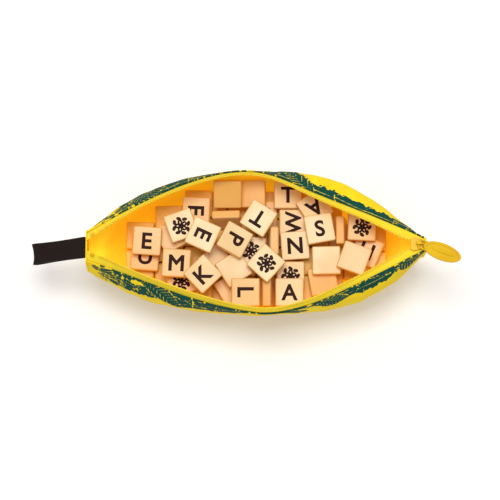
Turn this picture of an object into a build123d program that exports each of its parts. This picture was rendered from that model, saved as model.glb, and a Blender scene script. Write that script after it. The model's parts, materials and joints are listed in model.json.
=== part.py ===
"""Travel word tile game: a banana-shaped zip pouch of cloth, open and full of letter tiles.

Frame: +Z up, X along the pouch (strap at -X, zip slider at +X), +Y to the far side.
The origin is the middle of the flat patch that the pouch rests on. Millimetres.
"""

from build123d import *
import math
import os

# --- driving dimensions: pouch form ---
stem_length = 109.5  # from the origin to the blunt strap end
nose_length = 108.5  # from the origin to the pointed slider end
stem_overrun = 16.1  # beyond the strap end, where the belly's outline would close
nose_overrun = 4.0  # beyond the slider end, where the belly's outline would close
belly_half_width = 47.0
stem_fullness = 2.45  # exponents of the belly's outline toward each end
nose_fullness = 2.8
mouth_spread = 0.4  # by which the open mouth would be wider than the belly
stem_mouth_overrun = 20.5  # beyond the strap end, where the mouth's outline would close
nose_mouth_overrun = 10.5  # beyond the slider end, where the mouth's outline would close
stem_mouth_roundness = 0.36
nose_mouth_roundness = 0.18
stem_bow = 6.2  # how far the strap end bends to the near side
stem_bow_power = 2.4
nose_bow = 4.8  # how far the slider end bends to the near side
nose_bow_end = 0.88  # share of the nose's length beyond which the pouch runs straight
mouth_lean = 5.8  # how far the mouth sags to the near side
mouth_lean_x = 40.0
mouth_lean_reach = 38.0
mouth_lean_end = 0.92  # share of the nose's length at which the lean has gone, short of the slider
rim_height = 56.0
rim_rise = 8.0  # extra rim height at both ends
keel_rise = 33.0  # how far the belly curls up at both ends
keel_power = 3.0
keel_sink = 0.3  # depth of belly that the floor presses flat
belly_drop = 12.0  # from the rim down to the widest point, at the middle
belly_drop_rise = 8.0  # added to that drop at both ends
base_share = 0.55  # flat share of the belly's width
roundness = 2.2  # exponent of the lower corners
gusset_angle = 38.0  # where the gusset's seam lies on the lower corner, in degrees

# --- driving dimensions: cloth ---
cloth = 0.9
lining_cloth = 0.6
ply_gap = 0.25
seam_gap = 0.5  # between the lining's top edge and the tape
nose_drop = 2.5  # from the rim down to the nose's bound seam
nose_binding_thickness = 1.6
stations = 25  # cross-sections of each sewn panel

# --- driving dimensions: zip ---
tape = 0.7
tape_seam = 5.0  # depth of tape sewn below the rim
tape_free = 6.2  # width of tape that stands free of the rim
tape_lift = 5.0  # how far the tape's free edge stands up
tape_stem_fall = 2.0  # taken off that lift at the strap end
tape_flat_end = 0.9  # share of the nose's length beyond which the tapes lie flat
tape_meet = 1.2  # how softly the two free edges come together
tape_gap = 0.25  # half the gap between the closed free edges
coil_pitch = 2.0
coil_turn = 0.85  # along the tape
coil_width = 2.2
coil_overhang = 0.8  # past the tape's free edge, where the two rows mesh
coil_height = 0.8
stop_length = 2.6
stop_width = 2.4
stop_height = 1.0
stop_overhang = 0.3  # past the tape's free edge
stop_chamfer = 0.25
stop_gap = 0.25  # between the slider and the bottom stop
seat_gap = 0.08  # under what is seated on a tape
slider_back = 9.1  # from the pointed end back to the slider's wedge end
slider_length = 7.6
slider_shoulder = 1.3  # from the wedge end to where the flanges start
slider_mouth = 0.7  # width at the wedge end, as a share of the width at the flanges
slider_corner = 0.6
slider_plate = 0.9
slider_flange = 0.7
slider_room = 0.4  # free height above the coils and below the tape
slider_side_room = 0.7
bail_place = 0.74  # share of the slider's length
slot_gap = 0.25  # free height on each face of the tape, between the flanges
wedge_length = 2.8
wedge_tip = 0.2  # from the plates' edge to the wedge, and to where it is widest
wedge_belly = 0.9
wedge_width = 1.6
bail_width = 1.6
bail_thickness = 1.0
bail_gap = 0.15  # between the pull's bar and the slider
pull_length = 28.5
pull_width = 11.0
pull_thickness = 2.4
pull_rim = 1.3
pull_bar = 0.8
pull_eye = 3.0  # from the bar's axis to where the oval starts
pull_eye_width = 4.0
pull_arm = 1.1
pull_recess = 0.4
pull_yaw = -20.0
pull_droop = 6.0

# --- driving dimensions: strap ---
strap_width = 13.6
strap_thickness = 1.3
strap_length = 37.0
strap_fold = 5.0  # height of the open fold at the far end
strap_drop = 5.0  # from the rim down to the strap's seam
strap_droop = 22.0
strap_yaw = 4.0
strap_gap = 0.3

# --- driving dimensions: tiles ---
tile_side = 18.5
tile_thickness = 5.5
tile_edge = 0.8
tile_gap = 0.05  # air between a tile and what it lies on
tile_pitch = 19.3  # between neighbours in the hidden layers
layer_step = 2.5  # a hidden tile that would sit this far above its layer is left out
heap_reach = 84.0  # no tile center lies farther out than this
slip = 1.5  # step by which a tile slips sideways while it settles
slip_cost = 0.7  # fall that a tile needs to slip by one millimetre

# tiles in view: name, x, y, turn about Z, nod of the face toward -Y, tip of the face toward +X,
# listed as they came to lie, from the lowest up
tiles_on_edge = [
    ("tile_on_edge_centre", 11.0, 1.5, 0.0, 0.0, -84.0),
    ("tile_on_edge_right", 56.5, 9.0, 3.0, 0.0, 80.0),
    ("tile_on_edge_near", 8.0, -33.0, 0.0, 0.0, 80.0),
    ("tile_on_edge_left", -19.5, 16.5, 4.0, 76.0, 0.0),
]
tiles_below = [
    ("tile_u", -73.5, -8.0, -4.0, 4.0, 3.0),
    ("tile_flower_near", -49.5, -24.0, 20.0, 6.0, 0.0),
    ("tile_e_far", -40.0, 22.5, -92.0, 4.0, 0.0),
    ("tile_under_flower", -58.5, 3.5, 28.0, 3.0, -8.0),
    ("tile_amber", 44.0, -24.0, 10.0, 4.0, 0.0),
    ("tile_h", 73.0, -4.0, -24.0, 2.0, -4.0),
    ("tile_flower_side", -3.5, -4.0, -6.0, 4.0, 0.0),
    ("tile_flower_low", 25.5, -20.5, 0.0, 4.0, 0.0),
    ("tile_m_side", 23.0, 14.5, 90.0, 2.0, 0.0),
    ("tile_c", 4.5, 21.0, 0.0, 3.0, 4.0),
    ("tile_blank_far", -3.0, 34.0, 0.0, 6.0, -8.0),
    ("tile_fan_low", -19.0, -29.0, 30.0, 5.0, 6.0),
    ("tile_fan_middle", -25.0, -10.0, 38.0, 3.0, 6.0),
    ("tile_fan_high", -15.0, -17.0, 33.0, 4.0, 5.0),
]
tiles_on_top = [
    ("tile_e_left", -71.8, 1.0, -4.0, 10.0, 0.0),
    ("tile_m", -54.0, -12.5, -3.0, 3.0, 2.0),
    ("tile_flower_left", -49.5, 10.5, 20.0, 5.0, 3.0),
    ("tile_k", -35.0, -22.0, 44.0, 6.0, 3.0),
    ("tile_p", -14.5, 1.0, -28.0, 2.0, 12.0),
    ("tile_e_middle", -33.5, 3.5, -114.0, 5.0, 2.0),
    ("tile_blank_top_left", -19.0, 31.0, 0.0, 26.0, 0.0),
    ("tile_t_middle", -1.5, 15.5, 147.0, 5.0, -5.0),
    ("tile_t_top", 21.0, 30.5, 0.0, 4.0, 0.0),
    ("tile_a_top", 38.5, 24.0, -147.0, 3.0, 3.0),
    ("tile_n", 24.0, -2.5, 4.0, 10.0, 0.0),
    ("tile_s", 44.5, 9.0, 10.0, 5.0, 2.0),
    ("tile_blank_s", 44.5, -10.0, 1.0, 4.0, 0.0),
    ("tile_flower_right", 66.5, 11.0, -2.0, 8.0, 2.0),
    ("tile_blank_right", 64.0, -11.0, -20.0, 3.0, 0.0),
    ("tile_flower_centre", 6.2, -14.5, 48.0, 4.0, 0.0),
    ("tile_a_low", 21.7, -32.5, 0.0, 4.0, 0.0),
    ("tile_l", -5.6, -33.5, -90.0, 4.0, 0.0),
]

os.makedirs("parts", exist_ok=True)


def write(solid, name):
    """Label one finished piece and write it to its own file."""
    solid.label = name
    export_step(solid, f"parts/{name}.step")


# --- pouch form: every panel, the lining and the tile heap follow these ---
def end_share(x):
    """0 at the middle, 1 at either end."""
    return min(1.0, abs(x) / (stem_length if x < 0 else nose_length))


def hyperbola(share, softness):
    """1 at the middle, 0 at share 1, with a rounded middle and nearly straight flanks."""
    span = math.hypot(1, softness) - softness
    return 1 - (math.hypot(share, softness) - softness) / span


def mouth(x):
    """Half-width between the two rims."""
    half = belly_half_width + mouth_spread
    if x < 0:
        return half * hyperbola(-x / (stem_length + stem_mouth_overrun), stem_mouth_roundness)
    return half * hyperbola(x / (nose_length + nose_mouth_overrun), nose_mouth_roundness)


def belly(x):
    """Half-width at the widest height."""
    if x < 0:
        return belly_half_width * (1 - (-x / (stem_length + stem_overrun)) ** stem_fullness)
    return belly_half_width * (1 - (x / (nose_length + nose_overrun)) ** nose_fullness)


def bow(x):
    """Sideways shift of the whole pouch, to the near side at both ends."""
    if x < 0:
        return -stem_bow * end_share(x) ** stem_bow_power
    return -nose_bow * math.sin(math.pi / 2 * min(1.0, end_share(x) / nose_bow_end) ** 2) ** 2


def lean(x):
    """Further sideways shift of the mouth, none at the zip's closed end."""
    fade = max(0.0, 1 - (end_share(x) / mouth_lean_end) ** 12) ** 2
    return -mouth_lean * math.exp(-(((x - mouth_lean_x) / mouth_lean_reach) ** 2)) * fade


def rim(x):
    """Height of the rim."""
    return rim_height + rim_rise * math.sin(math.pi / 2 * end_share(x)) ** 2


def keel(x):
    """Height of the belly's lowest line."""
    return keel_rise * end_share(x) ** keel_power - keel_sink


def widest(x):
    """Height of the widest point."""
    return rim(x) - belly_drop - belly_drop_rise * end_share(x) ** 2


def corner_point(x, angle):
    """Point of the lower corner, from 0 at the flat belly to 90 at the widest height."""
    flat = base_share * belly(x)
    side, up = math.sin(math.radians(angle)), math.cos(math.radians(angle))
    y = flat + (belly(x) - flat) * max(0.0, side) ** (2 / roundness)
    z = keel(x) + (widest(x) - keel(x)) * (1 - max(0.0, up) ** (2 / roundness))
    return y, z


def wall_point(x, share, side):
    """Point of the wall above the widest height, share 1 being the rim on that side."""
    target = mouth(x) + side * lean(x)
    y = belly(x) - (belly(x) - target) * share**2
    return y, widest(x) + (rim(x) - widest(x)) * share


def inward(points, distance):
    """The same run of points, moved to its left by a distance, with mitred corners."""
    moved = []
    for i, (y, z) in enumerate(points):
        before = points[max(0, i - 1)]
        after = points[min(len(points) - 1, i + 1)]
        normals = []
        for a, b in ((before, (y, z)), ((y, z), after)):
            length = math.hypot(b[0] - a[0], b[1] - a[1])
            if length > 0:
                normals.append((-(b[1] - a[1]) / length, (b[0] - a[0]) / length))
        ny = sum(n[0] for n in normals) / len(normals)
        nz = sum(n[1] for n in normals) / len(normals)
        scale = distance / (ny * ny + nz * nz)
        moved.append((y + ny * scale, z + nz * scale))
    return moved


def station_plane(x):
    """Plane across the pouch whose own x is the pouch's Y and whose own y is Z."""
    return Plane(origin=(x, bow(x), 0), x_dir=(0, 1, 0), z_dir=(1, 0, 0))


def station_places():
    """Places of the cross-sections, closer together toward both ends."""
    middle = (nose_length - stem_length) / 2
    half = (nose_length + stem_length) / 2
    steps = stations - 1
    return [middle - half * math.cos(math.pi * i / steps) * (1 - 0.12 * math.sin(math.pi * i / steps) ** 2)
            for i in range(stations)]


def trough_points(x, side, top_share=1.0):
    """Line of one side from the flat belly up to a share of the wall, in that side's own outward y."""
    below_seam = [corner_point(x, gusset_angle * i / 3) for i in range(4)]
    above_seam = [corner_point(x, gusset_angle + (90 - gusset_angle) * i / 3) for i in range(1, 4)]
    wall = [wall_point(x, top_share * i / 4, side) for i in range(1, 5)]
    return below_seam + above_seam + wall


def lining_share(x, above=0.0):
    """Share of the upper wall that the lining covers, up to the tape's seam, or to a height above it."""
    return 1 - (tape_seam - above) / (rim(x) - widest(x))


def mirrored(points, side):
    """Points of one side placed in the pouch's own Y."""
    return [(side * y, z) for y, z in points]


def closed_strip(outer, inner):
    """Closed outline between two lists of runs: each run of two points a line, longer ones a spline."""
    with BuildLine() as outline:
        for run in outer:
            Line(*run) if len(run) == 2 else Spline(*run)
        Line(outer[-1][-1], inner[-1][-1])
        for run in reversed(inner):
            Line(*reversed(run)) if len(run) == 2 else Spline(*reversed(run))
        Line(inner[0][0], outer[0][0])
    return outline.line


# --- side panels, from the gusset's seam to the rim ---
seam_index = 3  # place of the seam's point in a side's line
for name, side in (("front_panel", -1), ("rear_panel", 1)):
    with BuildPart() as panel:
        for x in station_places():
            outer = trough_points(x, side)
            inner = inward(outer, cloth)
            with BuildSketch(station_plane(x)):
                add(closed_strip([mirrored(outer[seam_index:], side)], [mirrored(inner[seam_index:], side)]))
                make_face()
        loft()
    write(panel.part, name)


def trough_runs(x, inset, top_share=1.0, last=None):
    """Both sides and the flat belly as three runs, moved inward by an inset and cut after a point."""
    left = mirrored(inward(trough_points(x, -1, top_share), inset)[:last], -1)
    right = mirrored(inward(trough_points(x, 1, top_share), inset)[:last], 1)
    return [list(reversed(left)), [left[0], right[0]], right]


# --- base gusset, pressed flat where the pouch rests ---
with BuildPart() as base_gusset:
    for x in station_places():
        with BuildSketch(station_plane(x)):
            add(closed_strip(*[trough_runs(x, inset, last=seam_index + 1) for inset in (0, cloth)]))
            make_face()
    loft()
    split(bisect_by=Plane.XY, keep=Keep.TOP)
write(base_gusset.part, "base_gusset")

# --- lining, one bag inside all three panels ---
lining_inset = cloth + ply_gap
cavity_inset = lining_inset + lining_cloth
with BuildPart() as lining:
    for x in station_places():
        with BuildSketch(station_plane(x)):
            add(closed_strip(*[trough_runs(x, inset, lining_share(x)) for inset in (lining_inset, cavity_inset)]))
            make_face()
    loft()
write(lining.part, "lining")


# --- ends: the upright cloth at the strap and the bound seam at the nose ---
def end_outline(x, drop):
    """Outline of a whole cross-section, its top edge a drop below the rim."""
    runs = trough_runs(x, 0, 1 - drop / (rim(x) - widest(x)))
    with BuildLine() as outline:
        Spline(*runs[0])
        Line(*runs[1])
        Spline(*runs[2])
        Line(runs[2][-1], runs[0][0])
    return outline.line


with BuildPart() as stem_end_panel:
    with BuildSketch(station_plane(-stem_length)):
        add(end_outline(-stem_length, 0))
        make_face()
    extrude(amount=-cloth)
write(stem_end_panel.part, "stem_end_panel")

with BuildPart() as nose_binding:
    with BuildSketch(station_plane(nose_length)):
        add(end_outline(nose_length, nose_drop))
        make_face()
    extrude(amount=nose_binding_thickness)
write(nose_binding.part, "nose_binding")


# --- zip tapes ---
def tape_rise(x):
    """Height of the free edge above the rim."""
    if x < 0:
        return tape_lift - tape_stem_fall * end_share(x) ** 6
    return tape_lift * math.cos(math.pi / 2 * min(1.0, end_share(x) / tape_flat_end) ** 1.5) ** 2


def tape_edge(x):
    """Distance of the tape's free edge from the mouth's middle line, soft where the tapes meet."""
    reach = math.sqrt(tape_free**2 - tape_rise(x) ** 2)
    open_gap = mouth(x) - lining_inset - reach
    return tape_gap + (open_gap + math.hypot(open_gap, tape_meet)) / 2


def tape_points(x, side):
    """Outer line of a tape: sewn edge, fold at the rim, free edge."""
    wall = inward([wall_point(x, share, side) for share in (lining_share(x, seam_gap), 1)], lining_inset)
    return [*wall, (tape_edge(x) + side * lean(x), rim(x) + tape_rise(x))]


for name, side in (("front_zip_tape", -1), ("rear_zip_tape", 1)):
    with BuildPart() as zip_tape:
        for x in station_places():
            outer = tape_points(x, side)
            corners = mirrored(outer, side) + list(reversed(mirrored(inward(outer, tape), side)))
            with BuildSketch(station_plane(x)):
                with BuildLine():
                    Polyline(*corners, close=True)
                make_face()
        loft()
    write(zip_tape.part, name)


# --- zip coils: one solid per turn, seated on the tape and meshing where the tapes meet ---
def free_edge(x, side):
    """Point of a tape's free edge."""
    y, z = tape_points(x, side)[2]
    return Vector(x, bow(x) + side * y, z)


def edge_plane(x, side, overhang, width, height):
    """Place of a piece of that width and height seated on a tape, past its free edge by an overhang."""
    fold, edge = tape_points(x, side)[1:]
    across = Vector(0, side * (edge[0] - fold[0]), edge[1] - fold[1]).normalized()
    along = (free_edge(x + 0.1, side) - free_edge(x, side)).normalized()
    up = along.cross(across) * -side
    center = free_edge(x, side) + across * (overhang - width / 2) + up * (height / 2 + seat_gap)
    return Plane(origin=center, x_dir=along, z_dir=up)


def coil_stations(offset):
    """Places of the turns, one pitch apart along the free edge, from the nose toward the strap."""
    x = slider_end - offset
    found = []
    while x > top_stop_x + stop_length:
        found.append(x)
        x -= coil_pitch / (free_edge(x, 1) - free_edge(x - 0.1, 1)).length * 0.1
    return found


slider_start = nose_length - slider_back
slider_end = slider_start + slider_length
top_stop_x = stop_length * 1.5 - stem_length
for name, side in (("front_zip_coil", -1), ("rear_zip_coil", 1)):
    turns = [
        edge_plane(x, side, coil_overhang, coil_width, coil_height)
        for x in coil_stations(coil_pitch / 2 if side > 0 else coil_pitch)
    ]
    with BuildPart() as zip_coil:
        with Locations(*turns):
            Box(coil_turn, coil_width, coil_height)
    write(zip_coil.part, name)

with BuildPart() as zip_top_stops:
    with Locations(*[edge_plane(top_stop_x, side, stop_overhang, stop_width, stop_height) for side in (-1, 1)]):
        Box(stop_length, stop_width, stop_height)
    chamfer(zip_top_stops.edges(), stop_chamfer)
write(zip_top_stops.part, "zip_top_stops")

with BuildPart() as zip_bottom_stop:
    tape_top = rim(nose_length) + tape_rise(nose_length)
    stop_start = slider_end + stop_gap
    stop_end = nose_length - ply_gap
    with BuildSketch(Plane.XY.offset(tape_top + seat_gap)):
        with Locations(((stop_start + stop_end) / 2, bow(stop_end))):
            Rectangle(stop_end - stop_start, 2 * stop_width)
    extrude(amount=stop_height)
    chamfer(zip_bottom_stop.faces().sort_by(Axis.Z)[-1].edges(), stop_chamfer)
write(zip_bottom_stop.part, "zip_bottom_stop")

# --- zip slider: two plates held apart by the wedge, flanges round the coils, bail on top ---
slider_middle = slider_start + slider_length / 2
slider_y = bow(slider_middle)
slider_tape = rim(slider_middle) + tape_rise(slider_middle)
flange_start = slider_start + slider_shoulder
top_inside = slider_tape + coil_height + slider_room
top_outside = top_inside + slider_plate
bottom_inside = slider_tape - tape - slider_room
bottom_outside = bottom_inside - slider_plate


def flange_inside(x):
    """Distance of the flange's inner face from the slider's middle line."""
    return tape_edge(x) + coil_width - coil_overhang + slider_side_room


def slider_outline():
    """Plan of both plates, a shield that narrows toward the closed chain."""
    wide = flange_inside(flange_start) + slider_flange
    narrow = flange_inside(slider_end) + slider_flange
    return [
        (slider_start, slider_y + wide * slider_mouth),
        (flange_start, slider_y + wide),
        (slider_end, slider_y + narrow),
        (slider_end, slider_y - narrow),
        (flange_start, slider_y - wide),
        (slider_start, slider_y - wide * slider_mouth),
    ]


def flange_outline(side):
    """Plan of one flange, along a plate's side edge."""
    inner_start, inner_end = flange_inside(flange_start), flange_inside(slider_end)
    return [
        (flange_start, slider_y + side * inner_start),
        (slider_end, slider_y + side * inner_end),
        (slider_end, slider_y + side * (inner_end + slider_flange)),
        (flange_start, slider_y + side * (inner_start + slider_flange)),
    ]


bail_x = slider_start + slider_length * bail_place
bail_z = top_outside + pull_bar + bail_gap
skew = math.radians(abs(pull_yaw))
bail_inner = (pull_bar + bail_gap) / math.cos(skew) + bail_width / 2 * math.tan(skew)
bail_outer = bail_inner + bail_thickness
with BuildPart() as zip_slider:
    for low in (bottom_outside, top_inside):
        with BuildSketch(Plane.XY.offset(low)):
            with BuildLine():
                Polyline(*slider_outline(), close=True)
            make_face()
            fillet(vertices(), slider_corner)
        extrude(amount=slider_plate)
    for low, high in ((bottom_inside, slider_tape - tape - slot_gap), (slider_tape + slot_gap, top_inside)):
        with BuildSketch(Plane.XY.offset(low)):
            for side in (-1, 1):
                with BuildLine():
                    Polyline(*flange_outline(side), close=True)
                make_face()
        extrude(amount=high - low)
    with BuildSketch(Plane.XY.offset(bottom_inside)):
        with BuildLine():
            Polyline(
                (slider_start + wedge_tip, slider_y + wedge_width / 4),
                (slider_start + wedge_belly, slider_y + wedge_width / 2),
                (slider_start + wedge_length, slider_y),
                (slider_start + wedge_belly, slider_y - wedge_width / 2),
                (slider_start + wedge_tip, slider_y - wedge_width / 4),
                close=True,
            )
        make_face()
    extrude(amount=top_inside - bottom_inside)
    with BuildSketch(Plane(origin=(bail_x, slider_y, bail_z), x_dir=(1, 0, 0), z_dir=(0, -1, 0))):
        Circle(bail_outer)
        Circle(bail_inner, mode=Mode.SUBTRACT)
        with Locations((0, top_outside - slider_plate / 2 - bail_z)):
            Rectangle(3 * bail_outer, 3 * bail_outer, align=(Align.CENTER, Align.MAX), mode=Mode.SUBTRACT)
    extrude(amount=bail_width / 2, both=True)
write(zip_slider.part, "zip_slider")

# --- zip pull: a moulded oval on the bail, with a raised rim and a bare ridge ---
pull_turn, pull_dip = math.radians(pull_yaw), math.radians(pull_droop)
pull_plane = Plane(
    origin=(bail_x, slider_y, bail_z),
    x_dir=(
        math.cos(pull_turn) * math.cos(pull_dip),
        math.sin(pull_turn) * math.cos(pull_dip),
        -math.sin(pull_dip),
    ),
    z_dir=(math.cos(pull_turn) * math.sin(pull_dip), math.sin(pull_turn) * math.sin(pull_dip), math.cos(pull_dip)),
)
oval_half = (pull_length - pull_eye) / 2
oval_x = pull_eye + oval_half
arm_y = (pull_eye_width + pull_arm) / 2
with BuildPart() as zip_pull:
    with BuildSketch(pull_plane.offset(-pull_thickness / 2)):
        with Locations((oval_x, 0)):
            Ellipse(oval_half, pull_width / 2)
    extrude(amount=pull_thickness)
    chamfer(zip_pull.edges(), pull_thickness * 0.28)
    with BuildSketch(pull_plane.offset(-pull_arm / 2)):
        with Locations((0, arm_y), (0, -arm_y)):
            Rectangle(pull_eye + oval_half / 3, pull_arm, align=(Align.MIN, Align.CENTER))
    extrude(amount=pull_arm)
    bar_plane = Plane(origin=pull_plane.origin, x_dir=pull_plane.x_dir, z_dir=pull_plane.y_dir)
    with BuildSketch(bar_plane):
        Circle(pull_bar)
    extrude(amount=arm_y + pull_arm / 2, both=True)
    with BuildSketch(pull_plane.offset(pull_thickness / 2)):
        with Locations((oval_x, 0)):
            Ellipse(oval_half - pull_rim * 2, pull_width / 2 - pull_rim)
    extrude(amount=-pull_recess, mode=Mode.SUBTRACT)
    with BuildSketch(pull_plane.offset(pull_thickness / 2 - pull_recess)):
        with Locations((oval_x, 0)):
            SlotOverall(oval_half * 1.25, pull_width * 0.22)
    extrude(amount=pull_recess)
write(zip_pull.part, "zip_pull")

# --- strap: webbing folded into a loop and sewn into the seam at the strap end ---
strap_turn, strap_dip = math.radians(strap_yaw), math.radians(strap_droop)
strap_offset = cloth + strap_gap + strap_thickness + strap_width / 2 * math.sin(strap_turn)
strap_root = (-stem_length - strap_offset, bow(-stem_length), rim(-stem_length) - strap_drop)
strap_plane = Plane(
    origin=strap_root,
    x_dir=(
        -math.cos(strap_turn) * math.cos(strap_dip),
        -math.sin(strap_turn) * math.cos(strap_dip),
        -math.sin(strap_dip),
    ),
    z_dir=(-math.sin(strap_turn), math.cos(strap_turn), 0),
)
with BuildPart() as strap_loop:
    fold_x = strap_length - strap_fold / 2
    with BuildSketch(strap_plane):
        Circle(strap_thickness)
        with Locations((fold_x, 0)):
            Circle(strap_fold / 2)
        make_hull()
    extrude(amount=strap_width / 2, both=True)
    with BuildSketch(strap_plane):
        with Locations((strap_length * 0.3, 0)):
            Circle(0.2)
        with Locations((fold_x, 0)):
            Circle(strap_fold / 2 - strap_thickness)
        make_hull()
    extrude(amount=strap_width / 2, both=True, mode=Mode.SUBTRACT)
write(strap_loop.part, "strap_loop")

# --- tiles: each is let down on what already lies below it ---
def turned(x, y, turn, nod, tip):
    """The three axes of a tile turned about Z, then nodded toward -Y and tipped toward +X."""
    plane = Plane(origin=(0, 0, 0), x_dir=(math.cos(math.radians(turn)), math.sin(math.radians(turn)), 0))
    plane = Plane(Location((0, 0, 0), (nod, 0, 0)) * plane.location)
    plane = Plane(Location((0, 0, 0), (0, tip, 0)) * plane.location)
    return plane.x_dir, plane.y_dir, plane.z_dir


def half_sizes(gap=0.0):
    return tile_side / 2 + gap, tile_side / 2 + gap, tile_thickness / 2 + gap


def corners(center, axes):
    """The eight corners of a tile."""
    spread = [axis * half for axis, half in zip(axes, half_sizes())]
    return [center + i * spread[0] + j * spread[1] + k * spread[2] for i in (-1, 1) for j in (-1, 1) for k in (-1, 1)]


def cavity_floor(x, y):
    """Height of the lining under a point, or None outside the pouch."""
    flat = base_share * belly(x)
    out = abs(y - bow(x)) - flat
    reach = belly(x) - cavity_inset - flat
    if out <= 0:
        return keel(x) + cavity_inset
    if out >= reach:
        return None
    up = (1 - (out / reach) ** roundness) ** (1 / roundness)
    return keel(x) + cavity_inset + (widest(x) - keel(x) - cavity_inset) * (1 - up)


def cavity_width(x, z, side):
    """Free half-width of the cavity on one side at a height."""
    if z <= widest(x):
        return belly(x) - cavity_inset
    share = min(1.0, (z - widest(x)) / (rim(x) - widest(x)))
    return wall_point(x, share, side)[0] - cavity_inset - tape


def rest_height(center, axes, placed):
    """Height at which a tile let down at its x and y comes to rest."""
    height = 0.0
    for corner in corners(center, axes):
        ground = cavity_floor(corner.X, corner.Y)
        height = max(height, (rim_height + rim_rise if ground is None else ground) - (corner.Z - center.Z) + tile_gap)
    for other, other_axes in placed:
        apart = Vector(center.X - other.X, center.Y - other.Y, 0)
        if apart.length > tile_side * 2:
            continue
        low, high = -1000.0, 1000.0
        tests = list(axes) + list(other_axes) + [a.cross(b) for a in axes for b in other_axes]
        for test in tests:
            if test.length < 0.001:
                continue
            test = test.normalized()
            radius = sum(abs(test.dot(a)) * half for a, half in zip(axes, half_sizes(tile_gap / 2)))
            radius += sum(abs(test.dot(a)) * half for a, half in zip(other_axes, half_sizes(tile_gap / 2)))
            offset = test.dot(apart)
            if abs(test.Z) < 0.000001:
                if abs(offset) >= radius:
                    low, high = 1.0, -1.0
                    break
                continue
            ends = sorted(((-radius - offset) / test.Z, (radius - offset) / test.Z))
            low, high = max(low, ends[0]), min(high, ends[1])
        if low < high:
            height = max(height, other.Z + high)
    return height


def let_down(x, y, turn, nod, tip, placed):
    """Center and axes of a tile resting in the pouch, moved inward where a wall is in its way."""
    axes = turned(x, y, turn, nod, tip)
    for _ in range(6):
        center = Vector(x, y, 0)
        center = Vector(x, y, rest_height(center, axes, placed))
        push = 0.0
        for corner in corners(center, axes):
            off = corner.Y - bow(corner.X)
            side = 1 if off > 0 else -1
            over = abs(off) + tile_gap - cavity_width(corner.X, corner.Z, side)
            push = max(push, over) if side > 0 else push
            push = min(push, -over) if side < 0 and over > -push else push
        if abs(push) < 0.001:
            break
        y -= push
    return center, axes


def settle(x, y, turn, nod, tip, placed):
    """The lowest rest near a tile's place, found by slipping one step or two each way."""
    best = None
    for along in range(-2, 3):
        for across in range(-2, 3):
            center, axes = let_down(x + along * slip, y + across * slip, turn, nod, tip, placed)
            moved = math.hypot(center.X - x, center.Y - y)
            score = center.Z + slip_cost * moved
            if best is None or score < best[0]:
                best = (score, center, axes)
    return best[1], best[2]


def hidden_layer(number, placed):
    """Tiles lying flat side by side, as wide as the pouch is at their height."""
    layer = []
    shift = tile_pitch / 2 * (number % 2)
    height = cavity_inset - keel_sink + (number + 0.5) * tile_thickness + number * tile_gap
    columns, rows = int(heap_reach / tile_pitch) + 1, int(2 * belly_half_width / tile_pitch)
    for column in range(-columns, columns):
        x = column * tile_pitch + shift
        if abs(x) > heap_reach:
            continue
        for count in range(rows, 0, -1):
            row = []
            for i in range(count):
                y = bow(x) + (i - (count - 1) / 2) * tile_pitch
                axes = turned(x, y, 1.5 * math.sin(7 * column + 3 * i + number), 0, 0)
                ground = rest_height(Vector(x, y, 0), axes, placed)
                spots = corners(Vector(x, y, ground), axes)
                offs = [(s.X, s.Y - bow(s.X), s.Z) for s in spots]
                clear = all(abs(off) < cavity_width(px, pz, 1 if off > 0 else -1) for px, off, pz in offs)
                if ground < height + layer_step and clear:
                    row.append((Vector(x, y, ground), axes))
            if len(row) == count:
                break
        layer.extend(row)
        placed.extend(row)
    return layer


placed = []
layers = [hidden_layer(number, placed) for number in range(4)]
in_view = []
for name, *place in tiles_on_edge:
    placed.append(settle(*place, placed))
    in_view.append((name, placed[-1]))
layers += [hidden_layer(number, placed) for number in range(4, 5)]
for name, *place in tiles_below + tiles_on_top:
    placed.append(settle(*place, placed))
    in_view.append((name, placed[-1]))


# --- one tile, chamfered all round, and every node that is made of it ---
with BuildPart() as tile:
    Box(tile_side, tile_side, tile_thickness)
    chamfer(tile.edges(), tile_edge)


def write_tiles(name, seats):
    """One solid for each seat, all in one node."""
    with BuildPart() as group:
        with Locations(*[Plane(origin=center, x_dir=axes[0], z_dir=axes[2]) for center, axes in seats]):
            add(tile.part)
    write(group.part, name)


for number, layer in enumerate(layers, start=1):
    write_tiles(f"tile_layer_{number}", layer)
for name, seat in in_view:
    write_tiles(name, [seat])
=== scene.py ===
"""Travel word tile game: an open, banana-shaped zip pouch of printed cloth, full of letter tiles.

The pouch's cloth, zip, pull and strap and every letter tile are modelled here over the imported
frame. Sizes in the dataclasses are millimetres, and each mesh is made in metres.
"""

from __future__ import annotations

import json
import logging
import math
import random
from dataclasses import dataclass
from enum import Enum
from functools import partial
from typing import Any, Callable, Sequence

import bpy
import numpy as np
from bpy.types import Material, Node, NodeSocket, NodeTree, Object
from mathutils import Matrix, Vector, noise

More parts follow.
